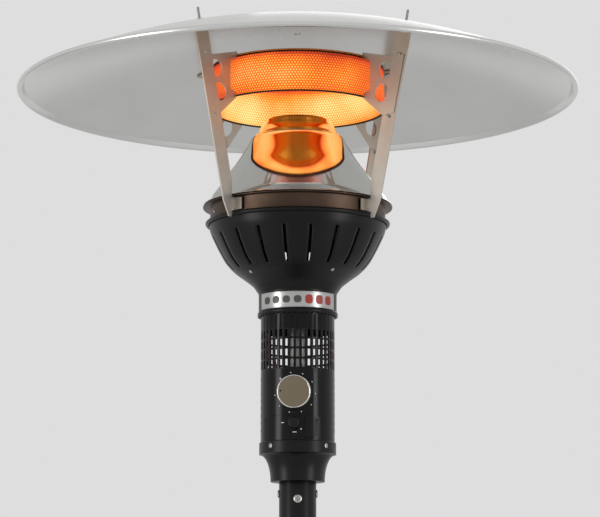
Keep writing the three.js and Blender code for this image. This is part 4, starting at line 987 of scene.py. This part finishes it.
# %% [markdown]
# ## The control housing
#
# A rolled tube, enamelled glossy black. Four rows of forty slots let air to the burner, and two
# columns of shorter slots cool the valve. It is the same slotted grid as the bowl's. The copper
# lines and the red ignition lead inside can be seen through it.

# %% Control housing
tube_radius = radius_of("control_housing")


def slot_rows(count, drop, pitch, height, sectors):
    """Rows of slots from a drop below the tube's top: (bottom, top, sectors) for each row."""
    tops = tube_high - drop - pitch * np.arange(count)
    return [(top - height, top, sectors) for top in tops]


air_slots = slot_rows(4, 42.0, 15.6, 12.4, None)
vents = slot_rows(8, 112.0, 11.4, 6.0, (9, -9))
tube_line = [(tube_radius - 0.5, tube_low), (tube_radius, tube_low + 0.5), (tube_radius, tube_high - 0.5),
             (tube_radius - 0.5, tube_high)]
tube_points, tube_faces = slotted_sheet(tube_line, air_slots + vents, 40, 4.5, 4.6, 0.8, 2)
housing = thick(piece("control_tube", tube_points, tube_faces, gloss_paint, "gloss_black_paint"), 1.5)
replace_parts(housing, "control_housing")
print("slots:", 40 * len(air_slots) + 2 * len(vents))

# %% Panels, cover and printed marks
panel_face = tube_radius + 1.5
knob_height = middle_of("main_knob")[2]
selector_height = middle_of("selector_stem")[2]


def around_knob(shape, across, up, height):
    """A mark on the round panel, across and up from a knob's axis: its azimuth is asin(across / radius)."""
    azimuth = math.degrees(math.asin(across / panel_face))
    return wrapped(shape, panel_face, azimuth, height + up)


dial_radius, dial_first, dial_step = 31.0, -45.6, 34.4
dots = []
for number in range(10):
    turn = math.radians(dial_first + dial_step * number)
    dot = 2.6 if number == 0 else 1.7
    dots.append(around_knob(block(dot, dot, 0.12, dot * 0.49, 3, 3, dot * 0.12, 0.05),
                            dial_radius * math.sin(turn), dial_radius * math.cos(turn), knob_height))
piece("dial_dots", *together(*dots), white_print, "gloss_black_paint")
marks = [around_knob(block(5.2, 1.1, 0.12, 0.5, 3, 3, 0.15, 0.05), -18.5, 1.0, selector_height),
         around_knob(block(6.4, 1.1, 0.12, 0.5, 3, 3, 0.15, 0.05), 0.0, -13.5, selector_height),
         around_knob(block(1.6, 2.6, 0.12, 0.7, 3, 3, 0.15, 0.05), 9.8, -8.8, selector_height)]
piece("selector_marks", *together(*marks), white_print, "gloss_black_paint")
cover_turn, cover_height = 26.2, selector_height - 6
piece("igniter_cover", *wrapped(block(25, 32, 1.6, 1.2, 16, 8), panel_face, cover_turn, cover_height),
      gloss_paint, "gloss_black_paint")
piece("igniter_window", *wrapped(block(4.6, 27, 0.25, 0.6, 4, 6, 0.2, 0.1), panel_face + 1.6,
                                 cover_turn + 7.4, cover_height), black_plastic, "black_plastic")
print("10 dial dots, 3 selector marks, igniter cover")

# %% [markdown]
# ## Knobs
#
# The main knob is a cup of brown-grey anodised metal with a bright turned rim and a brushed face.
# The selector is a small moulded knob with grip flutes and a pointer. Both are profiles turned about
# a line that points forward, and the flutes are a wave in the radius.

# %% Main knob
taupe = ringed("anodised_taupe_aluminium", "8a7f6c", "786d5c", 0.34, 0.8, 0.004, 0.05,
               (0, 0, middle_of("main_knob")[2]), (1, 0, 1))
chrome = finish("chromed_rim", "e2e2e0", "d0d0ce", 0.08, 1.0, 0.8, 0.002, spread=0.02)
knob_back = panel_face + 2.4
knob_front = -span("main_knob")[0][1]
knob_radius = radius_of("main_knob")
forward = (0, -1, 0)


def forward_shape(outline, height, sides, across=0.0, up=0.0, flutes=None):
    """A profile of [radius, distance forward] turned about -Y; flutes = (count, depth, first, last)."""
    points = turned_points(outline, sides)
    if flutes:
        count, depth, start, stop = flutes
        wave = 1 - depth * (0.5 + 0.5 * np.cos(count * around(sides))) ** 2
        points[start:stop, :, :2] *= wave[None, :, None]
    return aimed(points, forward, (across, 0, height + up)), grid_faces(len(outline), sides, True, True)


cup = rounded([(0, knob_back), (knob_radius - 0.8, knob_back), (knob_radius, knob_back + 1.2),
               (knob_radius, knob_front - 3.2), (knob_radius - 0.9, knob_front - 2.6),
               (knob_radius - 0.9, knob_front - 1.0), (0, knob_front - 1.0)], 0.4, 3)
knob_cup = piece("main_knob_cup", *forward_shape(cup, knob_height, 96), taupe, "taupe_metal", "main_knob")
rim_profile = rounded([(knob_radius - 1.9, knob_front - 0.9), (knob_radius - 0.9, knob_front - 2.8),
                       (knob_radius, knob_front - 2.6), (knob_radius, knob_front - 1.2),
                       (knob_radius - 0.9, knob_front), (knob_radius - 1.9, knob_front - 0.2)], 0.5, 3)
knob_rim = piece("main_knob_rim", *forward_shape(rim_profile, knob_height, 96), chrome, "taupe_metal",
                 "main_knob")
shaft_back = -span("main_knob")[1][1]
shaft = rounded([(0, shaft_back), (4, shaft_back), (4, knob_back + 0.4), (0, knob_back + 0.4)], 0.4, 2)
knob_shaft = piece("main_knob_shaft", *forward_shape(shaft, knob_height, 24), zinc_steel, "zinc_steel",
                   "main_knob")
pip = rounded([(0, knob_front - 1.3), (1.5, knob_front - 1.3), (1.5, knob_front - 0.85),
               (1.1, knob_front - 0.7), (0, knob_front - 0.7)], 0.1, 2)
knob_pip = piece("main_knob_pip", *forward_shape(pip, knob_height, 20, across=-(knob_radius - 5.5), up=1.0),
                 black_plastic, "black_plastic", "main_knob")
for made in (knob_cup, knob_rim, knob_shaft, knob_pip):
    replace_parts(made, "main_knob")
print("main knob", round(2 * knob_radius, 1), "mm across")

# %% Selector knob
selector_back = -span("selector_knob")[1][1]
selector_front = -span("selector_knob")[0][1]
selector_radius = 9.4
selector_line = rounded([(0, selector_back), (selector_radius, selector_back),
                         (selector_radius, selector_back + 3.6), (selector_radius - 0.5, selector_back + 4.4),
                         (selector_radius - 1, selector_front - 2),
                         (selector_radius - 2.4, selector_front), (0, selector_front)], 0.5, 3)
body_shape = forward_shape(selector_line, selector_height, 64, flutes=(16, 0.06, 8, len(selector_line) - 5))
pointer_points, pointer_faces = block(2.2, 15.0, 0.9, 1.0, 4, 8)
tilt = math.radians(135)
turned_x = pointer_points[:, 0] * math.cos(tilt) + pointer_points[:, 1] * math.sin(tilt)
turned_z = pointer_points[:, 1] * math.cos(tilt) - pointer_points[:, 0] * math.sin(tilt)
pointer_y = -(selector_front - 0.4 + pointer_points[:, 2])
pointer = (np.stack([turned_x, pointer_y, selector_height + turned_z], 1), pointer_faces)
selector = piece("selector_cap", *together(body_shape, pointer), black_plastic, "black_plastic",
                 "selector_knob")
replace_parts(selector, "selector_knob")
print("selector knob", round(2 * selector_radius, 1), "mm across")

# %% [markdown]
# ## Collar, pole and burner tube
#
# Three pieces turned on the pole's own axis. The collar is pressed sheet that sweeps out from the
# pole to the housing; its sweep is a quarter of an ellipse. The pole is drawn steel tube, and the
# burner tube carries gas and air up from the orifice.

# %% Collar, pole and burner tube
pole_radius = radius_of("pole")
collar_radius = radius_of("lower_collar")
collar_foot = 41.8
flare = 42.0
sweep = np.radians(np.linspace(0, 90, 14))
flare_line = np.stack([collar_foot + (collar_radius - collar_foot) * (1 - np.cos(sweep)),
                       collar_low + 1.2 + (flare - 1.2) * np.sin(sweep)], 1)
inside_line = flare_line[::-1] + [-1.8, 1.2]
collar_outline = np.concatenate([
    [(pole_radius + 0.3, collar_low), (collar_foot - 0.8, collar_low), (collar_foot, collar_low + 0.5)],
    flare_line, [(collar_radius, collar_high - 0.8), (collar_radius - 0.6, collar_high),
     (collar_radius - 1.6, collar_high)],
    inside_line, [(pole_radius + 2, collar_low + 2.4), (pole_radius + 2, pole_high),
                  (pole_radius + 0.3, pole_high)]])
collar = spun("pole_collar", collar_outline, black_paint, "black_paint", sides=128)
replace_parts(collar, "lower_collar")

pole_wall = 1.6
pole_line = rounded([(pole_radius - pole_wall, pole_low), (pole_radius, pole_low), (pole_radius, pole_high),
                     (pole_radius - pole_wall, pole_high)], 0.5, 2)
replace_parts(spun("pole_tube", pole_line, black_paint, "black_paint"), "pole")
burner_low, burner_high = heights_of("burner_tube")
burner_line = np.concatenate([flowing([(17, burner_low), (15.2, burner_low + 5), (14, burner_low + 12)], 4),
                              flowing([(14, burner_high - 18), (15.4, burner_high - 6),
                                       (20, burner_high - 1.6)], 4),
                              [(56, burner_high - 1.4), (56, burner_high)]])
burner_back = np.concatenate([[(20, burner_high)],
                              flowing([(14.5, burner_high - 4.5), (12.6, burner_high - 16)], 3),
                              [(12.5, burner_low + 12), (15.4, burner_low)]])
burner_pipe = spun("burner_pipe", np.concatenate([burner_line, burner_back]), zinc_steel, "zinc_steel",
                   sides=64)
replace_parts(burner_pipe, "burner_tube")
print("collar, pole and burner tube ready")

# %% [markdown]
# ## Base, cylinder housing and door
#
# The base is a shallow pressed pan with two ears for the wheel axle. The housing is a rolled sheet
# with a doorway and a spun lid, and the door is the piece cut from it. Here again the doorway is a
# block of faces left out of a grid whose lines run along its edges.

# %% Base pan
base_radius = 230.0
floor_top = 8.0
pan_line = rounded([(0, 0), (base_radius - 2, 0), (base_radius, 2), (base_radius, 38), (base_radius - 1, 40),
                    (base_radius - 3, 40), (base_radius - 4, 38.5), (base_radius - 4, floor_top),
                    (0, floor_top)], 1.0, 3)
axle_low, axle_high = span("axle")
axle_y, axle_z = (axle_low[1] + axle_high[1]) / 2, (axle_low[2] + axle_high[2]) / 2
ear_thickness, ear_at, ear_half, ear_rise = 6.0, 70.0, 14.0, 11.9
ear_reach = span("base_pan")[1][1]


def prism(outline, thickness):
    """A flat outline in the YZ plane given a thickness along X; each end is one face of many corners."""
    flat = np.asarray(outline, float)
    count = len(flat)
    ends = (-thickness / 2, thickness / 2)
    points = np.concatenate([np.column_stack([np.full(count, x), flat]) for x in ends])
    sides = [[i, (i + 1) % count, (i + 1) % count + count, i + count] for i in range(count)]
    return points, sides + [list(range(count))[::-1], list(range(count, 2 * count))]


crest = np.radians(np.linspace(0, 180, 16))
ear_line = np.concatenate([
    [(base_radius - 22, 2), (ear_reach - 8, 2), (ear_reach, 12)],
    np.stack([axle_y + ear_half * np.cos(crest), axle_z + ear_rise * np.sin(crest)], 1),
    [(base_radius + 8, axle_z - 8), (base_radius - 22, 39)]])
ear_points, ear_faces = prism(ear_line, ear_thickness)
ears = [(ear_points + [side * ear_at, 0, 0], ear_faces) for side in (-1, 1)]
pan = piece("base_sheet", *together(spun_shape(pan_line, 160), *ears), black_paint, "black_paint")
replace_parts(pan, "base_pan")
print("base", round(2 * base_radius), "mm across")

# %% Cylinder housing
shell_low, lid_high = heights_of("tank_housing")
shell_radius = 205.0
shell_wall = 1.5
shell_top = lid_high - 8
door_low, door_high = 72.0, 552.0
door_half = 48.0
shell_line = np.concatenate([
    [(shell_radius, z) for z in (shell_low, door_low, (door_low + door_high) / 2, door_high, shell_top - 14)],
    flowing([(shell_radius, shell_top - 14), (shell_radius - 2, shell_top - 8),
             (shell_radius - 7, shell_top - 2.6), (shell_radius - 15, shell_top)], 4)[1:],
    [(shell_radius - 40, shell_top + 1.4), (shell_radius - 44, shell_top + 3.2), (110, shell_top + 5.6),
     (34, lid_high)]])


def sheet_grid(outline, angles, wrap, hidden=None):
    """A turned sheet over a list of angles; hidden(level, angle) says which faces are left out."""
    points = spun_points(outline, angles)
    faces = grid_faces(len(outline), len(angles), False, wrap)
    if hidden:
        middle = points.reshape(-1, 3)[faces].mean(1)
        faces = faces[~hidden(middle[:, 2], np.degrees(np.arctan2(middle[:, 0], -middle[:, 1])))]
    return points.reshape(-1, 3), faces


def in_doorway(level, azimuth):
    """Whether a face lies inside the doorway."""
    return (level > door_low) & (level < door_high) & (np.abs(azimuth) < door_half)


shell_angles = np.radians(np.arange(-180, 180, 3))
shell = thick(piece("housing_sheet", *sheet_grid(shell_line, shell_angles, True, in_doorway), black_paint,
                    "black_paint"), shell_wall)
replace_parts(shell, "tank_housing")
door_gap = 2.0
door_edge = door_half - math.degrees(door_gap / shell_radius)
door_line = [(shell_radius, z) for z in np.linspace(door_low + door_gap, door_high - door_gap, 9)]
door_body = body_of["housing_door"]
door_angles = np.radians(np.linspace(-door_edge, door_edge, 33))
door = thick(piece("door_sheet", *sheet_grid(door_line, door_angles, False), black_paint, "black_paint",
                   door_body), shell_wall)
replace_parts(door, "housing_door")
print("doorway", round(2 * shell_radius * math.radians(door_half)), "mm wide along the sheet")

# %% Door hinges and pull
pin_low, pin_high = span("door_hinge_pin")
pin_x, pin_y = (pin_low[0] + pin_high[0]) / 2, (pin_low[1] + pin_high[1]) / 2
hinge_turn = math.degrees(math.atan2(pin_x, -pin_y))
knuckle_length, knuckle_radius, knuckle_bore = 34.0, 4.2, 2.3
hinge_from_edge, play = 60.0, 0.3


def knuckle(side, low, high):
    """A rolled barrel about the hinge pin, and the leaf that is welded to the sheet on one side of it."""
    barrel_line = rounded([(knuckle_bore, low), (knuckle_radius, low), (knuckle_radius, high),
                           (knuckle_bore, high)], 0.5, 2)
    barrel_points, barrel_faces = spun_shape(barrel_line, 28)
    leaf_points, leaf_faces = block(14, high - low, 2.4, 2.0, 4, 4, root=1.2)
    leaf = wrapped((leaf_points + [side * 8.0, 0, 0], leaf_faces), shell_radius, hinge_turn, (low + high) / 2)
    return [(barrel_points + [pin_x, pin_y, 0], barrel_faces), leaf]


fixed, moving = [], []
for centre in (door_low + hinge_from_edge, door_high - hinge_from_edge):
    fixed += knuckle(-1, centre - 1.5 * knuckle_length, centre - 0.5 * knuckle_length - play)
    fixed += knuckle(-1, centre + 0.5 * knuckle_length + play, centre + 1.5 * knuckle_length)
    moving += knuckle(1, centre - 0.5 * knuckle_length, centre + 0.5 * knuckle_length)
piece("hinge_knuckles_housing", *together(*fixed), black_paint, "black_paint")
piece("hinge_knuckles_door", *together(*moving), black_paint, "black_paint", door_body)
pin_line = [(0, pin_low[2]), (1.6, pin_low[2]), (2, pin_low[2] + 0.5), (2, pin_high[2] - 0.5),
            (1.6, pin_high[2]), (0, pin_high[2])]
pin_points, pin_faces = spun_shape(pin_line, 20)
hinge_pin = piece("hinge_pin", pin_points + [pin_x, pin_y, 0], pin_faces, zinc_steel, "zinc_steel",
                  body_of["door_hinge_pin"])
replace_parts(hinge_pin, "door_hinge_pin")
pull_turn, pull_start, pull_reach = 42.0, shell_radius + 0.5, 24.0
pull_line = np.concatenate([
    [(0, pull_start), (6.6, pull_start), (7, pull_start + 0.5)],
    flowing([(7, pull_start + 1), (4.9, pull_start + 3.6), (4.4, pull_start + 8), (5.4, pull_start + 12.5),
             (9.8, pull_start + 15.6), (11, pull_start + 18.6), (10, pull_start + 22), (6, pull_start + 23.7),
             (0, pull_start + pull_reach)], 4)])
pull_shape = turned_shape(pull_line, 48, outward_way(pull_turn), (0, 0, (door_low + door_high) / 2))
pull = piece("door_knob", *pull_shape, mirror_steel, "polished_steel", door_body)
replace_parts(pull, "door_pull")
print("2 hinges, 1 pull")

# %% [markdown]
# ## Wheels and axle
#
# Solid rubber tyres on moulded, dished hubs, on a plain steel axle. The tyre's tread is a row of
# shallow grooves: small steps in its radius round the wheel.

# %% Wheels and axle
for side in ("left", "right"):
    low, high = span(f"wheel_{side}")
    centre = (low + high) / 2
    half = (high[0] - low[0]) / 2
    tyre = rounded([(42, -half), (57, -half), (60, -half + 3), (60, half - 3), (57, half), (42, half)],
                   1.6, 3)
    tyre_grid = turned_points(tyre, 144)
    crown = np.abs(tyre[:, 0] - 60) < 1.0
    tyre_grid[crown, :, :2] *= (1 - 0.012 * (np.cos(36 * around(144)) > 0.2))[None, :, None]
    hub = rounded([(6.5, -half), (17, -half), (19, -half + 7), (41, -half + 7), (42.2, -half + 1),
                   (43, -half + 1), (43, half - 1), (42.2, half - 1), (41, half - 7), (19, half - 7),
                   (17, half), (6.5, half)], 0.8, 3)
    hub_grid = turned_points(hub, 96)
    for name, grid, outline, material, slot in (("tyre", tyre_grid, tyre, rubber, "wheel_rubber"),
                                                ("hub", hub_grid, hub, wheel_plastic, "handwheel_plastic")):
        made = piece(f"wheel_{name}_{side}", aimed(grid, (1, 0, 0), centre),
                     grid_faces(*grid.shape[:2], True, True), material, slot, body_of[f"wheel_{side}"])
        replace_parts(made, f"wheel_{side}")
axle_half = axle_high[0]
axle_line = rounded([(0, -axle_half), (8, -axle_half), (10, -axle_half + 1.6), (10, -axle_half + 4),
                     (6, -axle_half + 4), (6, axle_half - 4), (10, axle_half - 4), (10, axle_half - 1.6),
                     (8, axle_half), (0, axle_half)], 0.5, 3)
axle_shape = turned_shape(axle_line, 40, (1, 0, 0), (0, axle_y, axle_z))
axle = piece("wheel_axle", *axle_shape, zinc_steel, "zinc_steel")
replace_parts(axle, "axle")
print("axle", round(2 * axle_half), "mm long")

# %% [markdown]
# ## Gas cylinder, valve and regulator
#
# The cylinder is two deep-drawn halves welded round the middle, on a foot ring and with a guard
# round its valve. The ends are half ellipses, and the weld is a low bead.

# %% Gas cylinder
can_low, can_high = heights_of("gas_cylinder")
can_radius = radius_of("gas_cylinder")
can_bottom, can_dome, can_top = can_low + 30, 70.0, can_high - 52
quarter = np.radians(np.linspace(0, 90, 14))
lower_end = np.stack([can_radius * np.sin(quarter), can_bottom + can_dome * (1 - np.cos(quarter))], 1)
upper_end = np.stack([can_radius * np.cos(quarter), can_top - can_dome * (1 - np.sin(quarter))], 1)
weld_at = (can_bottom + can_top) / 2
weld_bead = [(can_radius, weld_at - 4), (can_radius + 0.7, weld_at - 2.4), (can_radius + 1.1, weld_at),
             (can_radius + 0.7, weld_at + 2.4), (can_radius, weld_at + 4)]
seat = upper_end[upper_end[:, 0] > 20]
can_line = np.concatenate([lower_end, weld_bead, seat,
                           [(18.8, can_top + 1), (18.8, can_top + 5), (17.8, can_top + 6), (0, can_top + 6)]])
foot_line = rounded([(102, can_low), (105, can_low), (105, can_low + 64), (102, can_low + 64)], 0.8, 3)
can = piece("cylinder_body", *together(spun_shape(can_line, 128), spun_shape(foot_line, 96)), grey_paint,
            "grey_paint")
guard_radius, guard_start, guard_stop, guard_ease, guard_corner = 100.0, 65.0, 295.0, 9.0, 16.0
guard_rows, guard_columns = 12, 70
guard_degrees = np.linspace(guard_start, guard_stop, guard_columns)
guard_turn = np.radians(guard_degrees)
from_end = np.minimum(guard_degrees - guard_start, guard_stop - guard_degrees)
drop = np.clip(1 - from_end / guard_ease, 0, 1)
guard_level = np.linspace(0, 1, guard_rows)[:, None]
guard_low = can_top - 22
guard_tall = (can_high - guard_low) - guard_corner * (1 - np.sqrt(1 - drop ** 2))
guard_z = guard_low + guard_level * guard_tall
guard_x, guard_y = guard_radius * np.sin(guard_turn), -guard_radius * np.cos(guard_turn)
guard_grid = np.stack([guard_x + 0 * guard_z, guard_y + 0 * guard_z, guard_z], -1)
guard = thick(piece("valve_guard", guard_grid, grid_faces(guard_rows, guard_columns, False, False),
                    grey_paint, "grey_paint"), 3.0)
for made in (can, guard):
    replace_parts(made, "gas_cylinder")
print("cylinder", round(2 * can_radius), "by", round(can_top - can_bottom), "mm")

# %% Handwheel and regulator
wheel_low, wheel_high = heights_of("cylinder_handwheel")
grip_line = rounded([(5.3, wheel_low + 2), (11, wheel_low + 2), (14, wheel_low + 5), (21, wheel_low + 5),
                     (25, wheel_low + 1), (28, wheel_low + 4), (28, wheel_high - 4), (25, wheel_high - 1),
                     (20, wheel_high - 2.4),
                     (9, wheel_high - 2.4), (7.5, wheel_high), (5.3, wheel_high)], 0.9, 3)
grip_sides, grip_scallops, scallop_depth, scallop_from = 144, 6, 0.16, 19.0
grip_grid = spun_points(grip_line, around(grip_sides))
scallop = (0.5 + 0.5 * np.cos(grip_scallops * around(grip_sides))) ** 3
grip_grid[:, :, :2] *= (1 - scallop_depth * (grip_line[:, 0] > scallop_from)[:, None] * scallop)[..., None]
grip = piece("valve_handwheel", grip_grid, grid_faces(len(grip_line), grip_sides, True, True), wheel_plastic,
             "handwheel_plastic", body_of["cylinder_handwheel"])
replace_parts(grip, "cylinder_handwheel")
reg_low, reg_high = span("regulator")
reg_front, reg_back = -reg_low[1], -reg_high[1]
reg_height = (reg_low[2] + reg_high[2]) / 2
reg_line = np.concatenate([
    rounded([(0, reg_back), (13, reg_back), (14, reg_back + 1), (14, reg_back + 12), (19, reg_back + 13.5)],
            0.6, 2),
    flowing([(20, reg_back + 14), (27, reg_back + 16.6), (28, reg_back + 18.4)], 3),
    [(28.0, reg_front - 8.2), (27.4, reg_front - 7.4)],
    flowing([(26.4, reg_front - 6.6), (20, reg_front - 1.6), (9, reg_front - 0.2), (0, reg_front)], 4)])
barb_line = [(0, 22), (5, 22), (5, 32), (4.1, 33), (5, 37), (4.1, 38), (5, 42), (4.1, 43), (4.6, 47),
             (3.4, 48), (0, 48)]
barb_shape = turned_shape(barb_line, 32, (1, 0, 0), (0, -(reg_back + 21), reg_height))
regulator = piece("gas_regulator", *together(forward_shape(reg_line, reg_height, 72), barb_shape), cast_alloy,
                  "cast_alloy")
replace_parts(regulator, "regulator")
print("handwheel and regulator ready")

# %% Pole socket
socket_low, socket_high = heights_of("pole_socket")
socket_line = rounded([(15, socket_low), (62, socket_low), (62, socket_low + 6), (33, socket_low + 6),
                       (31.9, socket_low + 8), (31.9, socket_high), (28.9, socket_high),
                       (28.9, socket_low + 6), (15, socket_low + 6)], 0.6, 3)
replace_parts(spun("pole_foot_socket", socket_line, zinc_steel, "zinc_steel", sides=72), "pole_socket")
print("socket", round(socket_high - socket_low), "mm tall")

# %% [markdown]
# ## Inside the housing and under the cone
#
# The valve, orifice, legs, gas line, thermocouple, red lead and pilot keep their measured shapes. As
# with the struts, each is a welded copy with eased edges; the thin lines get one level of
# subdivision instead, which turns their six sides round.

# %% Valve, legs and pilot
for node, material, slot in (
        ("gas_valve", cast_alloy, "cast_alloy"), ("gas_orifice", brass, "brass"),
        ("cylinder_valve", brass, "brass"),
        ("pilot_burner", satin_steel, "satin_steel"), ("control_panel", gloss_paint, "gloss_black_paint"),
        ("selector_plate", gloss_paint, "gloss_black_paint"), ("support_leg_rear", zinc_steel, "zinc_steel"),
        ("support_leg_left", zinc_steel, "zinc_steel"), ("support_leg_right", zinc_steel, "zinc_steel"),
        ("selector_stem", zinc_steel, "zinc_steel"), ("igniter_electrode", ceramic, "white_ceramic")):
    eased(node, material, 0.4)
for node, material, slot in (("pilot_gas_tube", copper, "copper"), ("thermocouple", copper, "copper"),
                             ("ignition_lead", silicone, "red_sleeve")):
    line = eased(node, material)
    line.modifiers.clear()
    line.data.shade_smooth()
    soft = line.modifiers.new("round", "SUBSURF")
    soft.levels = soft.render_levels = 1
print("inner pieces dressed")

# %% Rivets in the gussets and screws in the band, the bowl and the crown
rivet = cross_head(2.6, 1.3, 16)
strut_foot = band_top - 10
strut_foot_radius, strut_head_radius, gusset_inset = 168.6, 233.0, 12.8
strut_lean = (strut_head_radius - strut_foot_radius) / (dish_height(strut_head_radius) - 2.5 - strut_foot)
gusset_rivets = []
for azimuth in corners.values():
    a = math.radians(azimuth)
    along = np.array([math.cos(a), math.sin(a), 0])
    for height in (screen_top - 8.5, screen_low - 37.5):
        reach = strut_foot_radius - gusset_inset + strut_lean * (height - strut_foot)
        middle = outward_way(azimuth) * reach + np.array([0, 0, height])
        gusset_rivets += [(along, middle + along * 1.2), (-along, middle - along * 3.0)]
many("gusset_rivets", rivet, gusset_rivets, zinc_steel, "zinc_steel")
strut_feet = [turn + side * 3.2 for turn in corners.values() for side in (-1, 1)]
band_places = [(turn, band_radius + 3.0) for turn in strut_feet] + [(-65.5, band_radius), (84.5, band_radius)]
band_screws = [(outward_way(turn), outward_way(turn) * reach + np.array([0, 0, band_top - 14]))
               for turn, reach in band_places]
many("band_screws", cross_head(2.4, 1.5, 16), band_screws, zinc_steel, "zinc_steel")
bowl_slope = math.degrees(math.atan2(98 - 83, 70.5 - 59.5))
bowl_screws = [(outward_way(azimuth, -bowl_slope),
                outward_way(azimuth) * 89.2 + np.array([0, 0, bowl_low + 64.0]))
               for azimuth in (41, 131, 221, 311)]
many("bowl_screws", cross_head(2.9, 1.7, 20), bowl_screws, zinc_steel, "zinc_steel")
crown_rivets = [((0, 0, -1), (x, 0, dish_height(0) - dish_wall / 2)) for x in (-3, 3)]
many("crown_rivets", cross_head(1.7, 1.0, 12), crown_rivets, zinc_steel, "zinc_steel")
print(len(gusset_rivets) + len(band_screws) + len(bowl_screws) + len(crown_rivets), "small heads")
